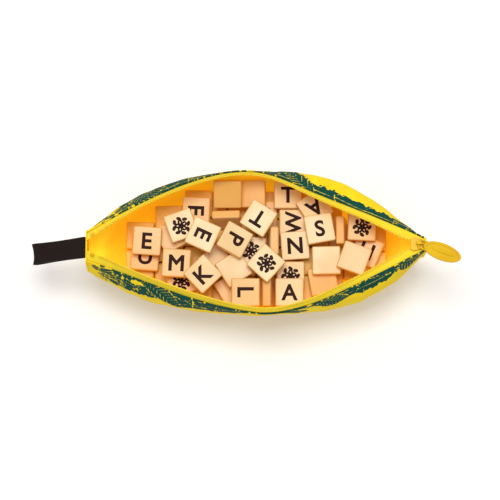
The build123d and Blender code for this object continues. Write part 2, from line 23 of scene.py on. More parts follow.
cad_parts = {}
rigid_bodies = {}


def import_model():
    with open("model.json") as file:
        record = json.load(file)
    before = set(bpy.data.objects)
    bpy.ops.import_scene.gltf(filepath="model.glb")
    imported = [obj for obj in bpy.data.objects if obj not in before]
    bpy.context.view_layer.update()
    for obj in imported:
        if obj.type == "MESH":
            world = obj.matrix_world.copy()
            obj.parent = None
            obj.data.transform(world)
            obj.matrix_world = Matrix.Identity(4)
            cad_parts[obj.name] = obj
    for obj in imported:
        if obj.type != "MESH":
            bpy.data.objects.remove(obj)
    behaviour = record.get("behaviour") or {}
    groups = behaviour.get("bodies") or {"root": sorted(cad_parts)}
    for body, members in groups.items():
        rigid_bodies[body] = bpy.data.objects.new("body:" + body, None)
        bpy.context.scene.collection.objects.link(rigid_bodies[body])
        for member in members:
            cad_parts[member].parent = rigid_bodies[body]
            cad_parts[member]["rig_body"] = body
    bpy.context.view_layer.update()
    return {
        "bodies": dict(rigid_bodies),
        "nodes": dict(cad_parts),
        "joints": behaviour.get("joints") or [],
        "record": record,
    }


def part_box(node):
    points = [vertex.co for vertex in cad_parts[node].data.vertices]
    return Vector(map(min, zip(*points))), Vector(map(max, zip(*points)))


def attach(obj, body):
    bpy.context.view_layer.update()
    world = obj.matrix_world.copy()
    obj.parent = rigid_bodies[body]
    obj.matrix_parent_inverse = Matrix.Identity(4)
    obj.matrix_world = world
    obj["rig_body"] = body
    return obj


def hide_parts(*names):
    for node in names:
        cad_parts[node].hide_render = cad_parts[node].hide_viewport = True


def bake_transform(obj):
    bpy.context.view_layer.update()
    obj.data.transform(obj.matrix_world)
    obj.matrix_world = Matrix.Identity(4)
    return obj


LOG = logging.getLogger("word_tile_pouch")
MM = 0.001
WHITE = (1, 1, 1, 1)
Pair = tuple[float, float]
Triple = tuple[float, float, float]


# --- small helpers ---


def linear(colour: str) -> tuple[float, float, float, float]:
    """Turn an sRGB hex colour into the linear colour that Blender works in.

    Args:
        colour: Six hex digits with a leading #.

    Returns:
        Red, green, blue and alpha.
    """
    parts = [int(colour[i : i + 2], 16) / 255 for i in (1, 3, 5)]
    r, g, b = [p / 12.92 if p <= 0.04045 else ((p + 0.055) / 1.055) ** 2.4 for p in parts]
    return r, g, b, 1.0


def wave_scale(period: float) -> float:
    """Scale of a Wave texture whose bands repeat every period millimetres."""
    return 2 * math.pi / (20 * period * MM)


def grain_scale(size: float) -> float:
    """Scale of a Noise texture whose features are size millimetres."""
    return 1 / (size * MM)


def eased(share: float) -> float:
    """Ease a share from 0 to 1 in and out, held at both ends."""
    share = min(1.0, max(0.0, share))
    return share * share * (3 - 2 * share)


def set_node(node: Node, settings: dict[Any, Any], links: dict[Any, Node | NodeSocket]) -> Node:
    """Give a node its settings and links.

    Args:
        node: The node.
        settings: Values by the node's own setting, or by an input's name or number.
        links: Outputs by the name or number of the input that they go to. A node stands for the
            first output that it has in use.

    Returns:
        The same node.
    """
    for key, value in settings.items():
        if isinstance(key, str) and hasattr(node, key):
            setattr(node, key, value)
        else:
            node.inputs[key].default_value = value
    for key, source in links.items():
        if isinstance(source, Node):
            source = next(output for output in source.outputs if output.enabled)
        node.id_data.links.new(source, node.inputs[key])
    return node


def add_node(
    tree: NodeTree,
    kind: str,
    settings: dict[Any, Any] | None = None,
    links: dict[Any, Node | NodeSocket] | None = None,
) -> Node:
    """Add a node with its settings and links.

    Args:
        tree: The material's node tree.
        kind: The node's type, without ShaderNode in front.
        settings: Its settings, as set_node takes them.
        links: Its links, as set_node takes them.

    Returns:
        The new node.
    """
    return set_node(tree.nodes.new(f"ShaderNode{kind}"), settings or {}, links or {})


def deselect() -> None:
    """Leave edit mode and select nothing."""
    if bpy.context.object and bpy.context.object.mode != "OBJECT":
        bpy.ops.object.mode_set(mode="OBJECT")
    bpy.ops.object.select_all(action="DESELECT")


def select(*pieces: Object) -> None:
    """Select these pieces only.

    Args:
        pieces: The pieces, of which the first becomes the active one.
    """
    deselect()
    for piece in pieces:
        piece.select_set(True)
    bpy.context.view_layer.objects.active = pieces[0]


def name_last(name: str) -> Object:
    """Name the piece that an operator has just added, and its mesh.

    Args:
        name: Its name.

    Returns:
        The piece.
    """
    piece = bpy.context.object
    piece.name = piece.data.name = name
    return piece


def bake_place(piece: Object, place: Matrix | None = None) -> None:
    """Move a piece's place, turn and scale into its mesh.

    Args:
        piece: The piece.
        place: A further placing after its own.
    """
    piece.data.transform((place or Matrix.Identity(4)) @ piece.matrix_basis)
    piece.matrix_basis = Matrix.Identity(4)
    piece.data.update()


def start_from(
    name: str, add: Callable[..., Any], scale: Triple, middle: Triple = (0, 0, 0), **settings: Any
) -> Object:
    """Start a piece from a primitive.

    Args:
        name: The piece's name.
        add: The operator that adds the primitive.
        scale: The primitive's scale along each axis, where 1 makes its metres millimetres.
        middle: Place of its middle in millimetres.
        settings: The operator's settings.

    Returns:
        The piece, with its size and place in its mesh.
    """
    deselect()
    add(**settings)
    piece = name_last(name)
    piece.scale = Vector(scale) * MM
    piece.location = Vector(middle) * MM
    bake_place(piece)
    return piece


def placing(origin: Sequence[float], *axes: Vector) -> Matrix:
    """Placing at a point in millimetres, with its X, Y and Z along three axes."""
    return Matrix.Translation(Vector(origin) * MM) @ Matrix(axes).transposed().to_4x4()


def shape_all(piece: Object, *steps: Callable[[], Any]) -> None:
    """Take edit mode's steps on the whole of a piece.

    Args:
        piece: The piece.
        steps: Calls of edit-mode operators, before each of which everything is selected.
    """
    select(piece)
    bpy.ops.object.mode_set(mode="EDIT")
    for step in steps:
        bpy.ops.mesh.select_all(action="SELECT")
        step()
    bpy.ops.object.mode_set(mode="OBJECT")


def face_outward() -> None:
    """Turn a closed shell's selected faces outward."""
    bpy.ops.mesh.normals_make_consistent(inside=False)


def show(piece: Object) -> None:
    """Put a new object into the scene."""
    bpy.context.scene.collection.objects.link(piece)


def apply_all(piece: Object) -> None:
    """Apply a piece's modifiers in order.

    Args:
        piece: The piece.
    """
    select(piece)
    for modifier in list(piece.modifiers):
        bpy.ops.object.modifier_apply(modifier=modifier.name)


def join(pieces: Sequence[Object]) -> Object:
    """Join pieces.

    Args:
        pieces: The pieces, of which the first takes in the others.

    Returns:
        The joined piece.
    """
    select(*pieces)
    bpy.ops.object.join()
    return bpy.context.object


def dress(piece: Object, material: Material) -> None:
    """Give a whole piece one material."""
    piece.data.materials.clear()
    piece.data.materials.append(material)


def dress_nodes(frame: dict[str, Any], nodes: Sequence[str], material: Material) -> None:
    """Give one material to CAD nodes that keep their own shape, and report them.

    Args:
        frame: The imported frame.
        nodes: The nodes' names.
        material: Their material.
    """
    for node in nodes:
        dress(frame["nodes"][node], material)
        LOG.info("%s: dressed in %s", node, material.name)


def stand_for(piece: Object, node: str, body: str) -> None:
    """Have a piece stand for its node, and report it.

    Args:
        piece: The finished piece.
        node: The CAD node that it replaces.
        body: The body that it rides on.
    """
    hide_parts(node)
    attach(piece, body)
    LOG.info("%s: %d faces", piece.name, len(piece.data.polygons))


def round_edges(piece: Object, width: float, segments: int = 3, angle: float = 30.0) -> None:
    """Bevel a piece's hard edges and shade it smooth.

    Args:
        piece: The piece, whose modifiers are applied.
        width: Width of the bevel in millimetres.
        segments: Steps of the bevel.
        angle: Edges sharper than this, in degrees, are rounded.
    """
    bevel = piece.modifiers.new("round", "BEVEL")
    bevel.width = width * MM
    bevel.segments = segments
    bevel.limit_method = "ANGLE"
    bevel.angle_limit = math.radians(angle)
    bevel.harden_normals = True
    select(piece)
    bpy.ops.object.shade_smooth()
    apply_all(piece)


# --- pouch form ---


@dataclass(frozen=True)
class PouchForm:
    """The banana form that every sewn panel, the lining and the zip follow.

    Its methods take a place x along the pouch, in millimetres from the middle toward the nose.
    """

    stem_length: float = 109.5
    nose_length: float = 108.5
    stem_reach: float = 125.6
    nose_reach: float = 112.5
    belly_half_width: float = 47.0
    stem_fullness: float = 2.45
    nose_fullness: float = 2.8
    mouth_half_width: float = 47.4
    stem_mouth_reach: float = 130.0
    nose_mouth_reach: float = 119.0
    stem_mouth_roundness: float = 0.36
    nose_mouth_roundness: float = 0.18
    stem_bow: float = 6.2
    stem_bow_power: float = 2.4
    nose_bow: float = 4.8
    nose_bow_end: float = 0.88
    mouth_lean: float = 5.8
    mouth_lean_x: float = 40.0
    mouth_lean_reach: float = 38.0
    mouth_lean_end: float = 0.92
    mouth_lean_power: float = 12
    rim_height: float = 56.0
    rim_rise: float = 8.0
    keel_rise: float = 33.0
    keel_power: float = 3.0
    keel_sink: float = 0.3
    belly_drop: float = 12.0
    belly_drop_rise: float = 8.0
    base_share: float = 0.55
    roundness: float = 2.2
    gusset_angle: float = 38.0
    tape_free: float = 6.2
    tape_tuck: float = 1.5
    tape_tuck_end: float = 0.9
    tape_tuck_run: float = 0.25
    tape_lift: float = 5.0
    tape_stem_fall: float = 2.0
    tape_stem_power: float = 6
    tape_flat_end: float = 0.9
    tape_flat_power: float = 1.5
    tape_seam: float = 5.0
    seam_gap: float = 0.5
    tape_meet: float = 1.2
    tape_gap: float = 0.25
    lining_inset: float = 1.15
    lining_angle: float = 60.0
    end_crowding: float = 0.35

    @property
    def whole_length(self) -> float:
        """Length of the pouch in metres."""
        return (self.stem_length + self.nose_length) * MM

    def end_share(self, x: float) -> float:
        """Share of the way to the nearer end: 0 at the middle, 1 at the end."""
        return min(1.0, abs(x) / (self.stem_length if x < 0 else self.nose_length))

    def bow(self, x: float) -> float:
        """Sideways place of the pouch's middle line, which both ends bend to the near side.

        Args:
            x: Place along the pouch.

        Returns:
            Its Y.
        """
        if x < 0:
            return -self.stem_bow * self.end_share(x) ** self.stem_bow_power
        bent = min(1.0, self.end_share(x) / self.nose_bow_end)
        return -self.nose_bow * math.sin(math.pi / 2 * bent**2) ** 2

    def mouth(self, x: float) -> float:
        """Half-width between the two rims.

        Args:
            x: Place along the pouch.

        Returns:
            The half-width.
        """
        reach, soft = self.nose_mouth_reach, self.nose_mouth_roundness
        if x < 0:
            reach, soft = self.stem_mouth_reach, self.stem_mouth_roundness
        span = math.hypot(1, soft) - soft
        return self.mouth_half_width * (1 - (math.hypot(abs(x) / reach, soft) - soft) / span)

    def belly(self, x: float) -> float:
        """Half-width at the widest height.

        Args:
            x: Place along the pouch.

        Returns:
            The half-width.
        """
        reach, fullness = self.nose_reach, self.nose_fullness
        if x < 0:
            reach, fullness = self.stem_reach, self.stem_fullness
        return self.belly_half_width * (1 - (abs(x) / reach) ** fullness)

    def lean(self, x: float) -> float:
        """Sideways shift of the mouth."""
        fade = max(0.0, 1 - (self.end_share(x) / self.mouth_lean_end) ** self.mouth_lean_power) ** 2
        return -self.mouth_lean * math.exp(-(((x - self.mouth_lean_x) / self.mouth_lean_reach) ** 2)) * fade

    def rim(self, x: float) -> float:
        """Height of the rim."""
        return self.rim_height + self.rim_rise * math.sin(math.pi / 2 * self.end_share(x)) ** 2

    def keel(self, x: float) -> float:
        """Height of the belly's lowest line."""
        return self.keel_rise * self.end_share(x) ** self.keel_power - self.keel_sink

    def widest(self, x: float) -> float:
        """Height of the widest point."""
        return self.rim(x) - self.belly_drop - self.belly_drop_rise * self.end_share(x) ** 2

    def side_line(self, x: float, side: int, inset: float, angle: float, top: float) -> np.ndarray:
        """Finely sampled line of one side from the lower corner up the wall.

        Args:
            x: Place along the pouch.
            side: -1 for the near side and 1 for the far side.
            inset: How far inside the outer face the line runs.
            angle: Where on the lower corner it starts, 0 being the flat belly.
            top: Share of the wall at which it ends, 1 being the rim.

        Returns:
            Rows of Y and Z in millimetres, from the bottom up.
        """
        belly, keel, widest = self.belly(x), self.keel(x), self.widest(x)
        flat = self.base_share * belly
        turn = np.radians(np.linspace(max(angle, 0.01), 90, 90))
        power = 2 / self.roundness
        corner_y = flat + (belly - flat) * np.sin(turn) ** power
        corner_z = keel + (widest - keel) * (1 - np.maximum(np.cos(turn), 0) ** power)
        share = np.linspace(0, top, 60)[1:]
        target = self.mouth(x) + side * self.lean(x)
        wall_y = belly - (belly - target) * share**2
        wall_z = widest + (self.rim(x) - widest) * share
        line = np.vstack([np.column_stack([corner_y, corner_z]), np.column_stack([wall_y, wall_z])])
        step = np.gradient(line, axis=0)
        step /= np.linalg.norm(step, axis=1)[:, None]
        line = line + inset * np.column_stack([-step[:, 1], step[:, 0]])
        return line * (side, 1) + (self.bow(x), 0)

    def lining_share(self, x: float) -> float:
        """Share of the wall that the lining covers, up to the tape's seam."""
        return 1 - self.tape_seam / (self.rim(x) - self.widest(x))

    def tape_width(self, x: float) -> float:
        """Width of tape above the rim, which is tucked in a little between the two ends."""
        inside = eased((self.tape_tuck_end - self.end_share(x)) / self.tape_tuck_run)
        return self.tape_free - self.tape_tuck * inside

    def tape_rise(self, x: float) -> float:
        """Height of the tape's free edge above the rim.

        Args:
            x: Place along the pouch.

        Returns:
            The height.
        """
        upright = self.tape_width(x) / self.tape_free
        if x < 0:
            fall = self.tape_stem_fall * self.end_share(x) ** self.tape_stem_power
            return upright * (self.tape_lift - fall)
        flattened = min(1.0, self.end_share(x) / self.tape_flat_end)
        return upright * self.tape_lift * math.cos(math.pi / 2 * flattened**self.tape_flat_power) ** 2

    def tape_edge(self, x: float) -> float:
        """Distance of the tape's free edge from the mouth's middle line.

        Args:
            x: Place along the pouch.

        Returns:
            The distance, which never falls under the gap that the coils need.
        """
        reach = math.sqrt(self.tape_width(x) ** 2 - self.tape_rise(x) ** 2)
        gap = self.mouth(x) - self.lining_inset - reach
        return self.tape_gap + (gap + math.hypot(gap, self.tape_meet)) / 2

    def tape_line(self, x: float, side: int) -> np.ndarray:
        """Line of a zip tape's outer face.

        Args:
            x: Place along the pouch.
            side: -1 for the near side and 1 for the far side.

        Returns:
            Its sewn edge, fold and free edge, as rows of Y and Z.
        """
        wall = self.side_line(x, side, self.lining_inset, self.lining_angle, 1.0)
        low_z = self.rim(x) - self.tape_seam + self.seam_gap
        low_y = float(np.interp(low_z, wall[:, 1], wall[:, 0]))
        reach = side * self.tape_edge(x) + self.lean(x) + self.bow(x)
        return np.array([(low_y, low_z), tuple(wall[-1]), (reach, self.rim(x) + self.tape_rise(x))])

    def along(self, count: int) -> np.ndarray:
        """Places along the whole pouch, closer together toward both ends.

        Args:
            count: How many.

        Returns:
            The places, from the stem to the nose.
        """
        start, end = -self.stem_length, self.nose_length
        crowded = (start + end) / 2 - (end - start) / 2 * np.cos(np.linspace(0, math.pi, count))
        return self.end_crowding * crowded + (1 - self.end_crowding) * np.linspace(start, end, count)


# --- finishes ---


@dataclass(frozen=True)
class Stitching:
    """Row of lockstitches in a seam.

    The real thread is 0.3 mm thick, and is drawn twice as wide to show.
    """

    colour: str = "#C99A06"
    pitch: float = 3.2
    stitch_end: Pair = (0.34, 0.4)
    half_width: Pair = (0.22, 0.38)

    def sew(
        self, tree: NodeTree, along: Node, off: Node | NodeSocket, ground: Node, height: Node, lift: float
    ) -> tuple[Node, Node]:
        """Lay the thread over a cloth.

        Args:
            tree: The material's node tree.
            along: Place along the seam in metres.
            off: Distance from the row's line in metres.
            ground: Colour of the cloth.
            height: Height of its weave.
            lift: How far the thread stands up from the weave.

        Returns:
            Colour and height of the sewn cloth.
        """
        beat = add_node(tree, "Math", {"operation": "DIVIDE", 1: self.pitch * MM}, {0: along})
        beat = add_node(tree, "Math", {"operation": "FRACT"}, {0: beat})
        beat = add_node(tree, "Math", {"operation": "SUBTRACT", 1: 0.5}, {0: beat})
        masks = []
        for place, (near, far) in ((beat, self.stitch_end), (off, [w * MM for w in self.half_width])):
            away = add_node(tree, "Math", {"operation": "ABSOLUTE"}, {0: place})
            fade = {"From Min": near, "From Max": far, "To Min": 1.0, "To Max": 0.0}
            masks.append(add_node(tree, "MapRange", fade, {"Value": away}))
        row = add_node(tree, "Math", {"operation": "MULTIPLY"}, {0: masks[0], 1: masks[1]})
        thread = {"data_type": "RGBA", 7: linear(self.colour)}
        sewn = add_node(tree, "Mix", thread, {0: row, 6: ground})
        raised = {"operation": "MULTIPLY_ADD", 1: lift}
        return sewn, add_node(tree, "Math", raised, {0: row, 2: height})


@dataclass(frozen=True)
class Finish:
    """A finish that wanders between two close colours."""

    name: str
    colour: str
    shade: str

    def surface(self, tree: NodeTree) -> tuple[dict[str, Any], dict[str, Node]]:
        """Values and links of the shader's inputs, which each kind of finish gives."""
        raise NotImplementedError

    def mottled(self, tree: NodeTree, spot: NodeSocket, grain: dict[str, float]) -> Node:
        """Mix the two colours in soft patches.

        Args:
            tree: The material's node tree.
            spot: Object coordinates.
            grain: Settings of the patches' noise.

        Returns:
            The colour.
        """
        cloud = add_node(tree, "TexNoise", grain, {"Vector": spot})
        patch = add_node(tree, "MapRange", {"From Min": 0.35, "From Max": 0.65}, {"Value": cloud})
        colours = {"data_type": "RGBA", 6: linear(self.colour), 7: linear(self.shade)}
        return add_node(tree, "Mix", colours, {0: patch})

    def make(self) -> Material:
        """Build the finish's material.

        Returns:
            The material.
        """
        material = bpy.data.materials.new(self.name)
        material.use_nodes = True
        set_node(material.node_tree.nodes["Principled BSDF"], *self.surface(material.node_tree))
        return material


@dataclass(frozen=True)
class WovenCloth(Finish):
    """Woven polyester: a matt weave of threads with a faint sheen at grazing angles.

    The real threads are about 0.3 mm apart, too fine to show, so they are drawn coarser. The
    glow is painted light: it stands in for the daylight that comes through a single thin layer
    of it and goes round inside the pouch.
    """

    thread: float = 0.8
    roughness: float = 0.82
    specular: float = 0.15
    sheen: float = 0.02
    sheen_roughness: float = 0.5
    patch: float = 14.0
    weave_depth: float = 0.12
    weave_height: float = 0.3
    thread_lift: float = 4.0
    crease: float = 9.0
    crease_depth: float = 0.35
    crease_height: float = 1.2
    # painted light: an even glow, none unless a cloth is given one
    glow: float = 0.0
    painted_glow_colour: str = "#FFC81C"
    printed: bool = False
    ink: str = "#035244"
    deep_ink: str = "#033C34"
    ink_grain: float = 0.9
    ink_patch: float = 6.0

    def surface(self, tree: NodeTree) -> tuple[dict[str, Any], dict[str, Node]]:
        """Weave the cloth, with the leaf print and the seam's stitches where it is printed.

        Args:
            tree: The material's node tree.

        Returns:
            Values and links of the shader's inputs.
        """
        place = add_node(tree, "UVMap", {"uv_map": "UVMap"})
        spot = add_node(tree, "TexCoord").outputs["Object"]
        bands = {"Scale": wave_scale(self.thread), "Distortion": 0.4, "Detail": 1.0}
        warp, weft = [
            add_node(tree, "TexWave", {"bands_direction": way, **bands}, {"Vector": place})
            for way in ("X", "Y")
        ]
        threads = {0: warp.outputs["Fac"], 1: weft.outputs["Fac"]}
        height = weave = add_node(tree, "Math", {"operation": "MAXIMUM"}, threads)
        patches = {"Scale": grain_scale(self.patch), "Detail": 3.0, "Roughness": 0.55}
        colour = self.mottled(tree, spot, patches)
        if self.printed:
            colour = self.add_print(tree, colour, spot)
            along = add_node(tree, "SeparateXYZ", {}, {0: place})
            hem = add_node(tree, "Attribute", {"attribute_name": "hem"}).outputs["Fac"]
            colour, height = Stitching().sew(tree, along, hem, colour, weave, self.thread_lift)
        # painted shade: the colour darkens a little between the threads of the weave
        tone = add_node(tree, "MapRange", {"To Min": 0.93, "To Max": 1.0}, {"Value": weave})
        shading = {"data_type": "RGBA", "blend_type": "MULTIPLY", 0: 1.0}
        weave_shaded = add_node(tree, "Mix", shading, {6: colour, 7: tone})
        relief = {"Strength": self.weave_depth, "Distance": self.weave_height * MM}
        fine = add_node(tree, "Bump", relief, {"Height": height})
        rumple = {"Scale": grain_scale(self.crease), "Detail": 2.0, "Roughness": 0.5}
        creases = add_node(tree, "TexNoise", rumple, {"Vector": spot})
        relief = {"Strength": self.crease_depth, "Distance": self.crease_height * MM}
        soft = add_node(tree, "Bump", relief, {"Height": creases, "Normal": fine})
        values = {
            "Roughness": self.roughness,
            "Specular IOR Level": self.specular,
            "Sheen Weight": self.sheen,
            "Sheen Roughness": self.sheen_roughness,
            # the emission is the painted glow
            "Emission Color": linear(self.painted_glow_colour),
            "Emission Strength": self.glow,
        }
        return values, {"Base Color": weave_shaded, "Normal": soft}

    def add_print(self, tree: NodeTree, ground: Node, spot: NodeSocket) -> Node:
        """Lay the leaf print's ink over the ground colour, with a slightly ragged edge.

        Args:
            tree: The material's node tree.
            ground: Colour of the bare cloth.
            spot: Object coordinates.

        Returns:
            Colour of the printed cloth.
        """
        leaves = add_node(tree, "Attribute", {"attribute_name": "leaf_print"}).outputs["Fac"]
        grain = {"Scale": grain_scale(self.ink_grain), "Detail": 2.0}
        ragged = add_node(tree, "TexNoise", grain, {"Vector": spot})
        swing = {"operation": "MULTIPLY_ADD", 1: 0.35, 2: -0.175}
        edge = add_node(tree, "Math", swing, {0: ragged})
        inked = add_node(tree, "Math", {"operation": "ADD"}, {0: leaves, 1: edge})
        cover = add_node(tree, "MapRange", {"From Min": -0.12, "From Max": 0.12}, {"Value": inked})
        patches = {"Scale": grain_scale(self.ink_patch), "Detail": 3.0}
        tone = add_node(tree, "TexNoise", patches, {"Vector": spot})
        inks = {"data_type": "RGBA", 6: linear(self.deep_ink), 7: linear(self.ink)}
        ink = add_node(tree, "Mix", inks, {0: tone})
        return add_node(tree, "Mix", {"data_type": "RGBA"}, {0: cover, 6: ground, 7: ink})


@dataclass(frozen=True)
class RibbedWebbing(Finish):
    """Narrow woven tape or webbing: fine ribs along its length, matt."""

    rib: float = 0.9
    roughness: float = 0.78
    specular: float = 0.2
    sheen: float = 0.02
    wear: float = 5.0
    depth: float = 0.35
    rib_height: float = 0.4
    thread_lift: float = 2.5
    stitched: float = 0.0

    def surface(self, tree: NodeTree) -> tuple[dict[str, Any], dict[str, Node]]:
        """Weave the webbing, with a row of stitches where it has one.

        Args:
            tree: The material's node tree.

        Returns:
            Values and links of the shader's inputs.
        """
        place = add_node(tree, "UVMap", {"uv_map": "UVMap"})
        bands = {"bands_direction": "Y", "Scale": wave_scale(self.rib), "Distortion": 0.25}
        ribs = add_node(tree, "TexWave", bands, {"Vector": place}).outputs["Fac"]
        bands = {"bands_direction": "X", "Scale": wave_scale(self.rib * 0.8), "Distortion": 0.3}
        picks = add_node(tree, "TexWave", bands, {"Vector": place}).outputs["Fac"]
        height = add_node(tree, "Math", {"operation": "MULTIPLY_ADD", 1: 0.35}, {0: picks, 2: ribs})
        patches = {"Scale": grain_scale(self.wear), "Detail": 3.0}
        wear = add_node(tree, "TexNoise", patches, {"Vector": place})
        # partly painted shade, darker between the ribs, and partly random wear
        mixed = add_node(tree, "Math", {"operation": "MULTIPLY_ADD", 1: 0.5}, {0: wear, 2: ribs})
        tone = add_node(tree, "MapRange", {"From Min": 0.1, "From Max": 1.3}, {"Value": mixed})
        colours = {"data_type": "RGBA", 6: linear(self.shade), 7: linear(self.colour)}
        colour = add_node(tree, "Mix", colours, {0: tone})
        if self.stitched:
            along = add_node(tree, "SeparateXYZ", {}, {0: place})
            row = {"operation": "SUBTRACT", 1: self.stitched * MM}
            off = add_node(tree, "Math", row, {0: along.outputs["Y"]})
            colour, height = Stitching().sew(tree, along, off, colour, height, self.thread_lift)
        relief = {"Strength": self.depth, "Distance": self.rib_height * MM}
        bump = add_node(tree, "Bump", relief, {"Height": height})
        values = {
            "Roughness": self.roughness,
            "Specular IOR Level": self.specular,
            "Sheen Weight": self.sheen,
        }
        return values, {"Base Color": colour, "Normal": bump}


@dataclass(frozen=True)
class MouldedPlastic(Finish):
    """Injection-moulded plastic: smooth, slightly wavy, with a faint mottled tone.

    Where a piece's tone attribute rises from 0 to 1, the colour goes to its painted shade colour.
    """

    roughness: float = 0.3
    ior: float = 1.5
    specular: float = 0.4
    patch: float = 22.0
    haze: float = 1.6
    haze_spread: Pair = (0.85, 1.2)
    ripple: float = 0.05
    ripple_height: float = 0.3
    painted_shade: str = ""

    def surface(self, tree: NodeTree) -> tuple[dict[str, Any], dict[str, Node]]:
        """Colour the plastic and give it its haze.

        Args:
            tree: The material's node tree.

        Returns:
            Values and links of the shader's inputs.
        """
        spot = add_node(tree, "TexCoord").outputs["Object"]
        colour = self.mottled(tree, spot, {"Scale": grain_scale(self.patch), "Detail": 2.0})
        # painted shade: the tone attribute darkens and warms the colour
        if self.painted_shade:
            tone = add_node(tree, "Attribute", {"attribute_name": "tone"}).outputs["Fac"]
            painted_shade_mix = {"data_type": "RGBA", 7: linear(self.painted_shade)}
            colour = add_node(tree, "Mix", painted_shade_mix, {0: tone, 6: colour})
        grain = {"Scale": grain_scale(self.haze), "Detail": 4.0}
        haze = add_node(tree, "TexNoise", grain, {"Vector": spot})
        least, most = self.haze_spread
        spread = {"To Min": self.roughness * least, "To Max": self.roughness * most}
        gloss = add_node(tree, "MapRange", spread, {"Value": haze})
        relief = {"Strength": self.ripple, "Distance": self.ripple_height * MM}
        bump = add_node(tree, "Bump", relief, {"Height": haze})
        values = {"IOR": self.ior, "Specular IOR Level": self.specular}
        return values, {"Base Color": colour, "Roughness": gloss, "Normal": bump}


CLOTH_YELLOWS = ("#FBDC1A", "#F7D010")


@dataclass(frozen=True)
class Finishes:
    """Every finish of the pouch and its tiles, built once."""

    printed: Material
    plain: Material
    lining: Material
    tape: Material
    coil: Material
    enamel: Material
    pull: Material
    webbing: Material
    tile: Material
    shaded_tile: Material
    ink: Material

    @classmethod
    def build(cls) -> Finishes:
        """Build all finishes.

        Returns:
            The finishes.
        """
        made = {
            "printed": WovenCloth("printed_polyester", *CLOTH_YELLOWS, printed=True),
            "plain": WovenCloth("plain_polyester", *CLOTH_YELLOWS),
            # a single thin layer; its glow is painted light for the daylight that comes through it and
            # bounces inside
            "lining": WovenCloth(
                "orange_yellow_lining",
                "#FFDC38",
                "#FFD028",
                thread=0.7,
                sheen=0.0,
                crease_depth=0.5,
                glow=0.33,
            ),
            "tape": RibbedWebbing("yellow_zip_tape", "#FDE33A", "#F8D31E", rib=0.8, stitched=1.4),
            # drawn nylon wire, a little glossier than the tape under it
            "coil": MouldedPlastic("nylon_coil", "#F7DA34", "#F0CC22", roughness=0.4),
            # cast zinc under baked enamel, which hides the metal with an even satin skin
            "enamel": MouldedPlastic("enamelled_zinc", "#EFBE0C", "#E2AC08", roughness=0.42, specular=0.25),
            # a smooth mould leaves hardly any ripple
            "pull": MouldedPlastic(
                "glossy_pull_plastic", "#E3B60A", "#D9A906", roughness=0.4, specular=0.18, ripple=0.02
            ),
            # nylon webbing, near black and dull
            "webbing": RibbedWebbing("dark_brown_webbing", "#24130F", "#0E0605", rib=1.1, depth=0.5),
            # moulded ivory plastic, handled until its faces are satin, with painted warm shade on its sides
            # and in the lining's orange light
            "tile": MouldedPlastic(
                "ivory_tile_plastic", "#F1D6A6", "#E8C48B", roughness=0.42, patch=26.0, painted_shade="#E39E26"
            ),
            # painted shade: a darker, more golden copy of the tile plastic for the tiles below
            "shaded_tile": MouldedPlastic("ivory_tile_plastic_painted_shade", "#EBBB4C", "#D8A032", roughness=0.45),
            # printed ink dries dull
            "ink": MouldedPlastic("dark_brown_ink", "#27100D", "#34160F", roughness=0.65, specular=0.15),
        }
        return cls(**{use: finish.make() for use, finish in made.items()})


# --- leaf print ---


class LeafKind(Enum):
    """Kinds of leaf in the print, each with the share of its half-width where its tears begin."""

    BLADE = 0.68
    TORN = 0.4
    FERN = 1.0


@dataclass(frozen=True)
class Leaf:
    """One leaf of the print: its stalk's place, its heading, size and bend, and its teeth's spacing."""

    kind: LeafKind
    along: float
    down: float
    heading: float
    length: float
    width: float
    bend: float
    tooth: float
    half_midrib: float = 0.24
    half_slit: float = 0.13
    half_spine: float = 0.6
    fern_gap: float = 0.1

    def ink(self, along: np.ndarray, down: np.ndarray) -> tuple[np.ndarray, np.ndarray]:
        """Signed distances of points on the cloth from the leaf's outline and from its ink.

        Args:
            along: Places along the rim in millimetres.
            down: Distances below the rim in millimetres.

        Returns:
            Distance inside the outline, and distance inside the inked area, in millimetres.
        """
        turn = math.radians(self.heading)
        u = (along - self.along) * math.cos(turn) + (down - self.down) * math.sin(turn)
        w = -(along - self.along) * math.sin(turn) + (down - self.down) * math.cos(turn)
        share = np.clip(u / self.length, 0, 1)
        beyond = np.maximum(-u, u - self.length)
        off = np.abs(w - self.bend * self.length * np.sin(math.pi * share))
        half = self.width / 2 * np.sin(math.pi * share**0.7) ** 0.65
        if self.kind is LeafKind.FERN:
            comb = np.abs(((u - off * 0.7) / self.tooth) % 1 - 0.5) * self.tooth
            leaflets = np.minimum(half - off, comb - self.tooth * self.fern_gap)
            ink = np.where(beyond > 0, -beyond, np.maximum(leaflets, self.half_spine - off))
            return np.where(beyond > 0, -beyond, half - off), ink
        tear = np.abs(((u - off * 1.1) / self.tooth) % 1 - 0.5) * self.tooth
        ragged = 0.14 * np.sin(u * 0.83 + self.down * 5) + 0.1 * np.sin(u * 2.1)
        outline = np.where(beyond > 0, -beyond, half * (0.9 + ragged) - off)
        midrib = off - self.half_midrib * (1.1 - share)
        slit = np.where(off > half * self.kind.value, tear - self.half_slit, 1.0)
        return outline, np.minimum(outline, np.minimum(midrib, slit))


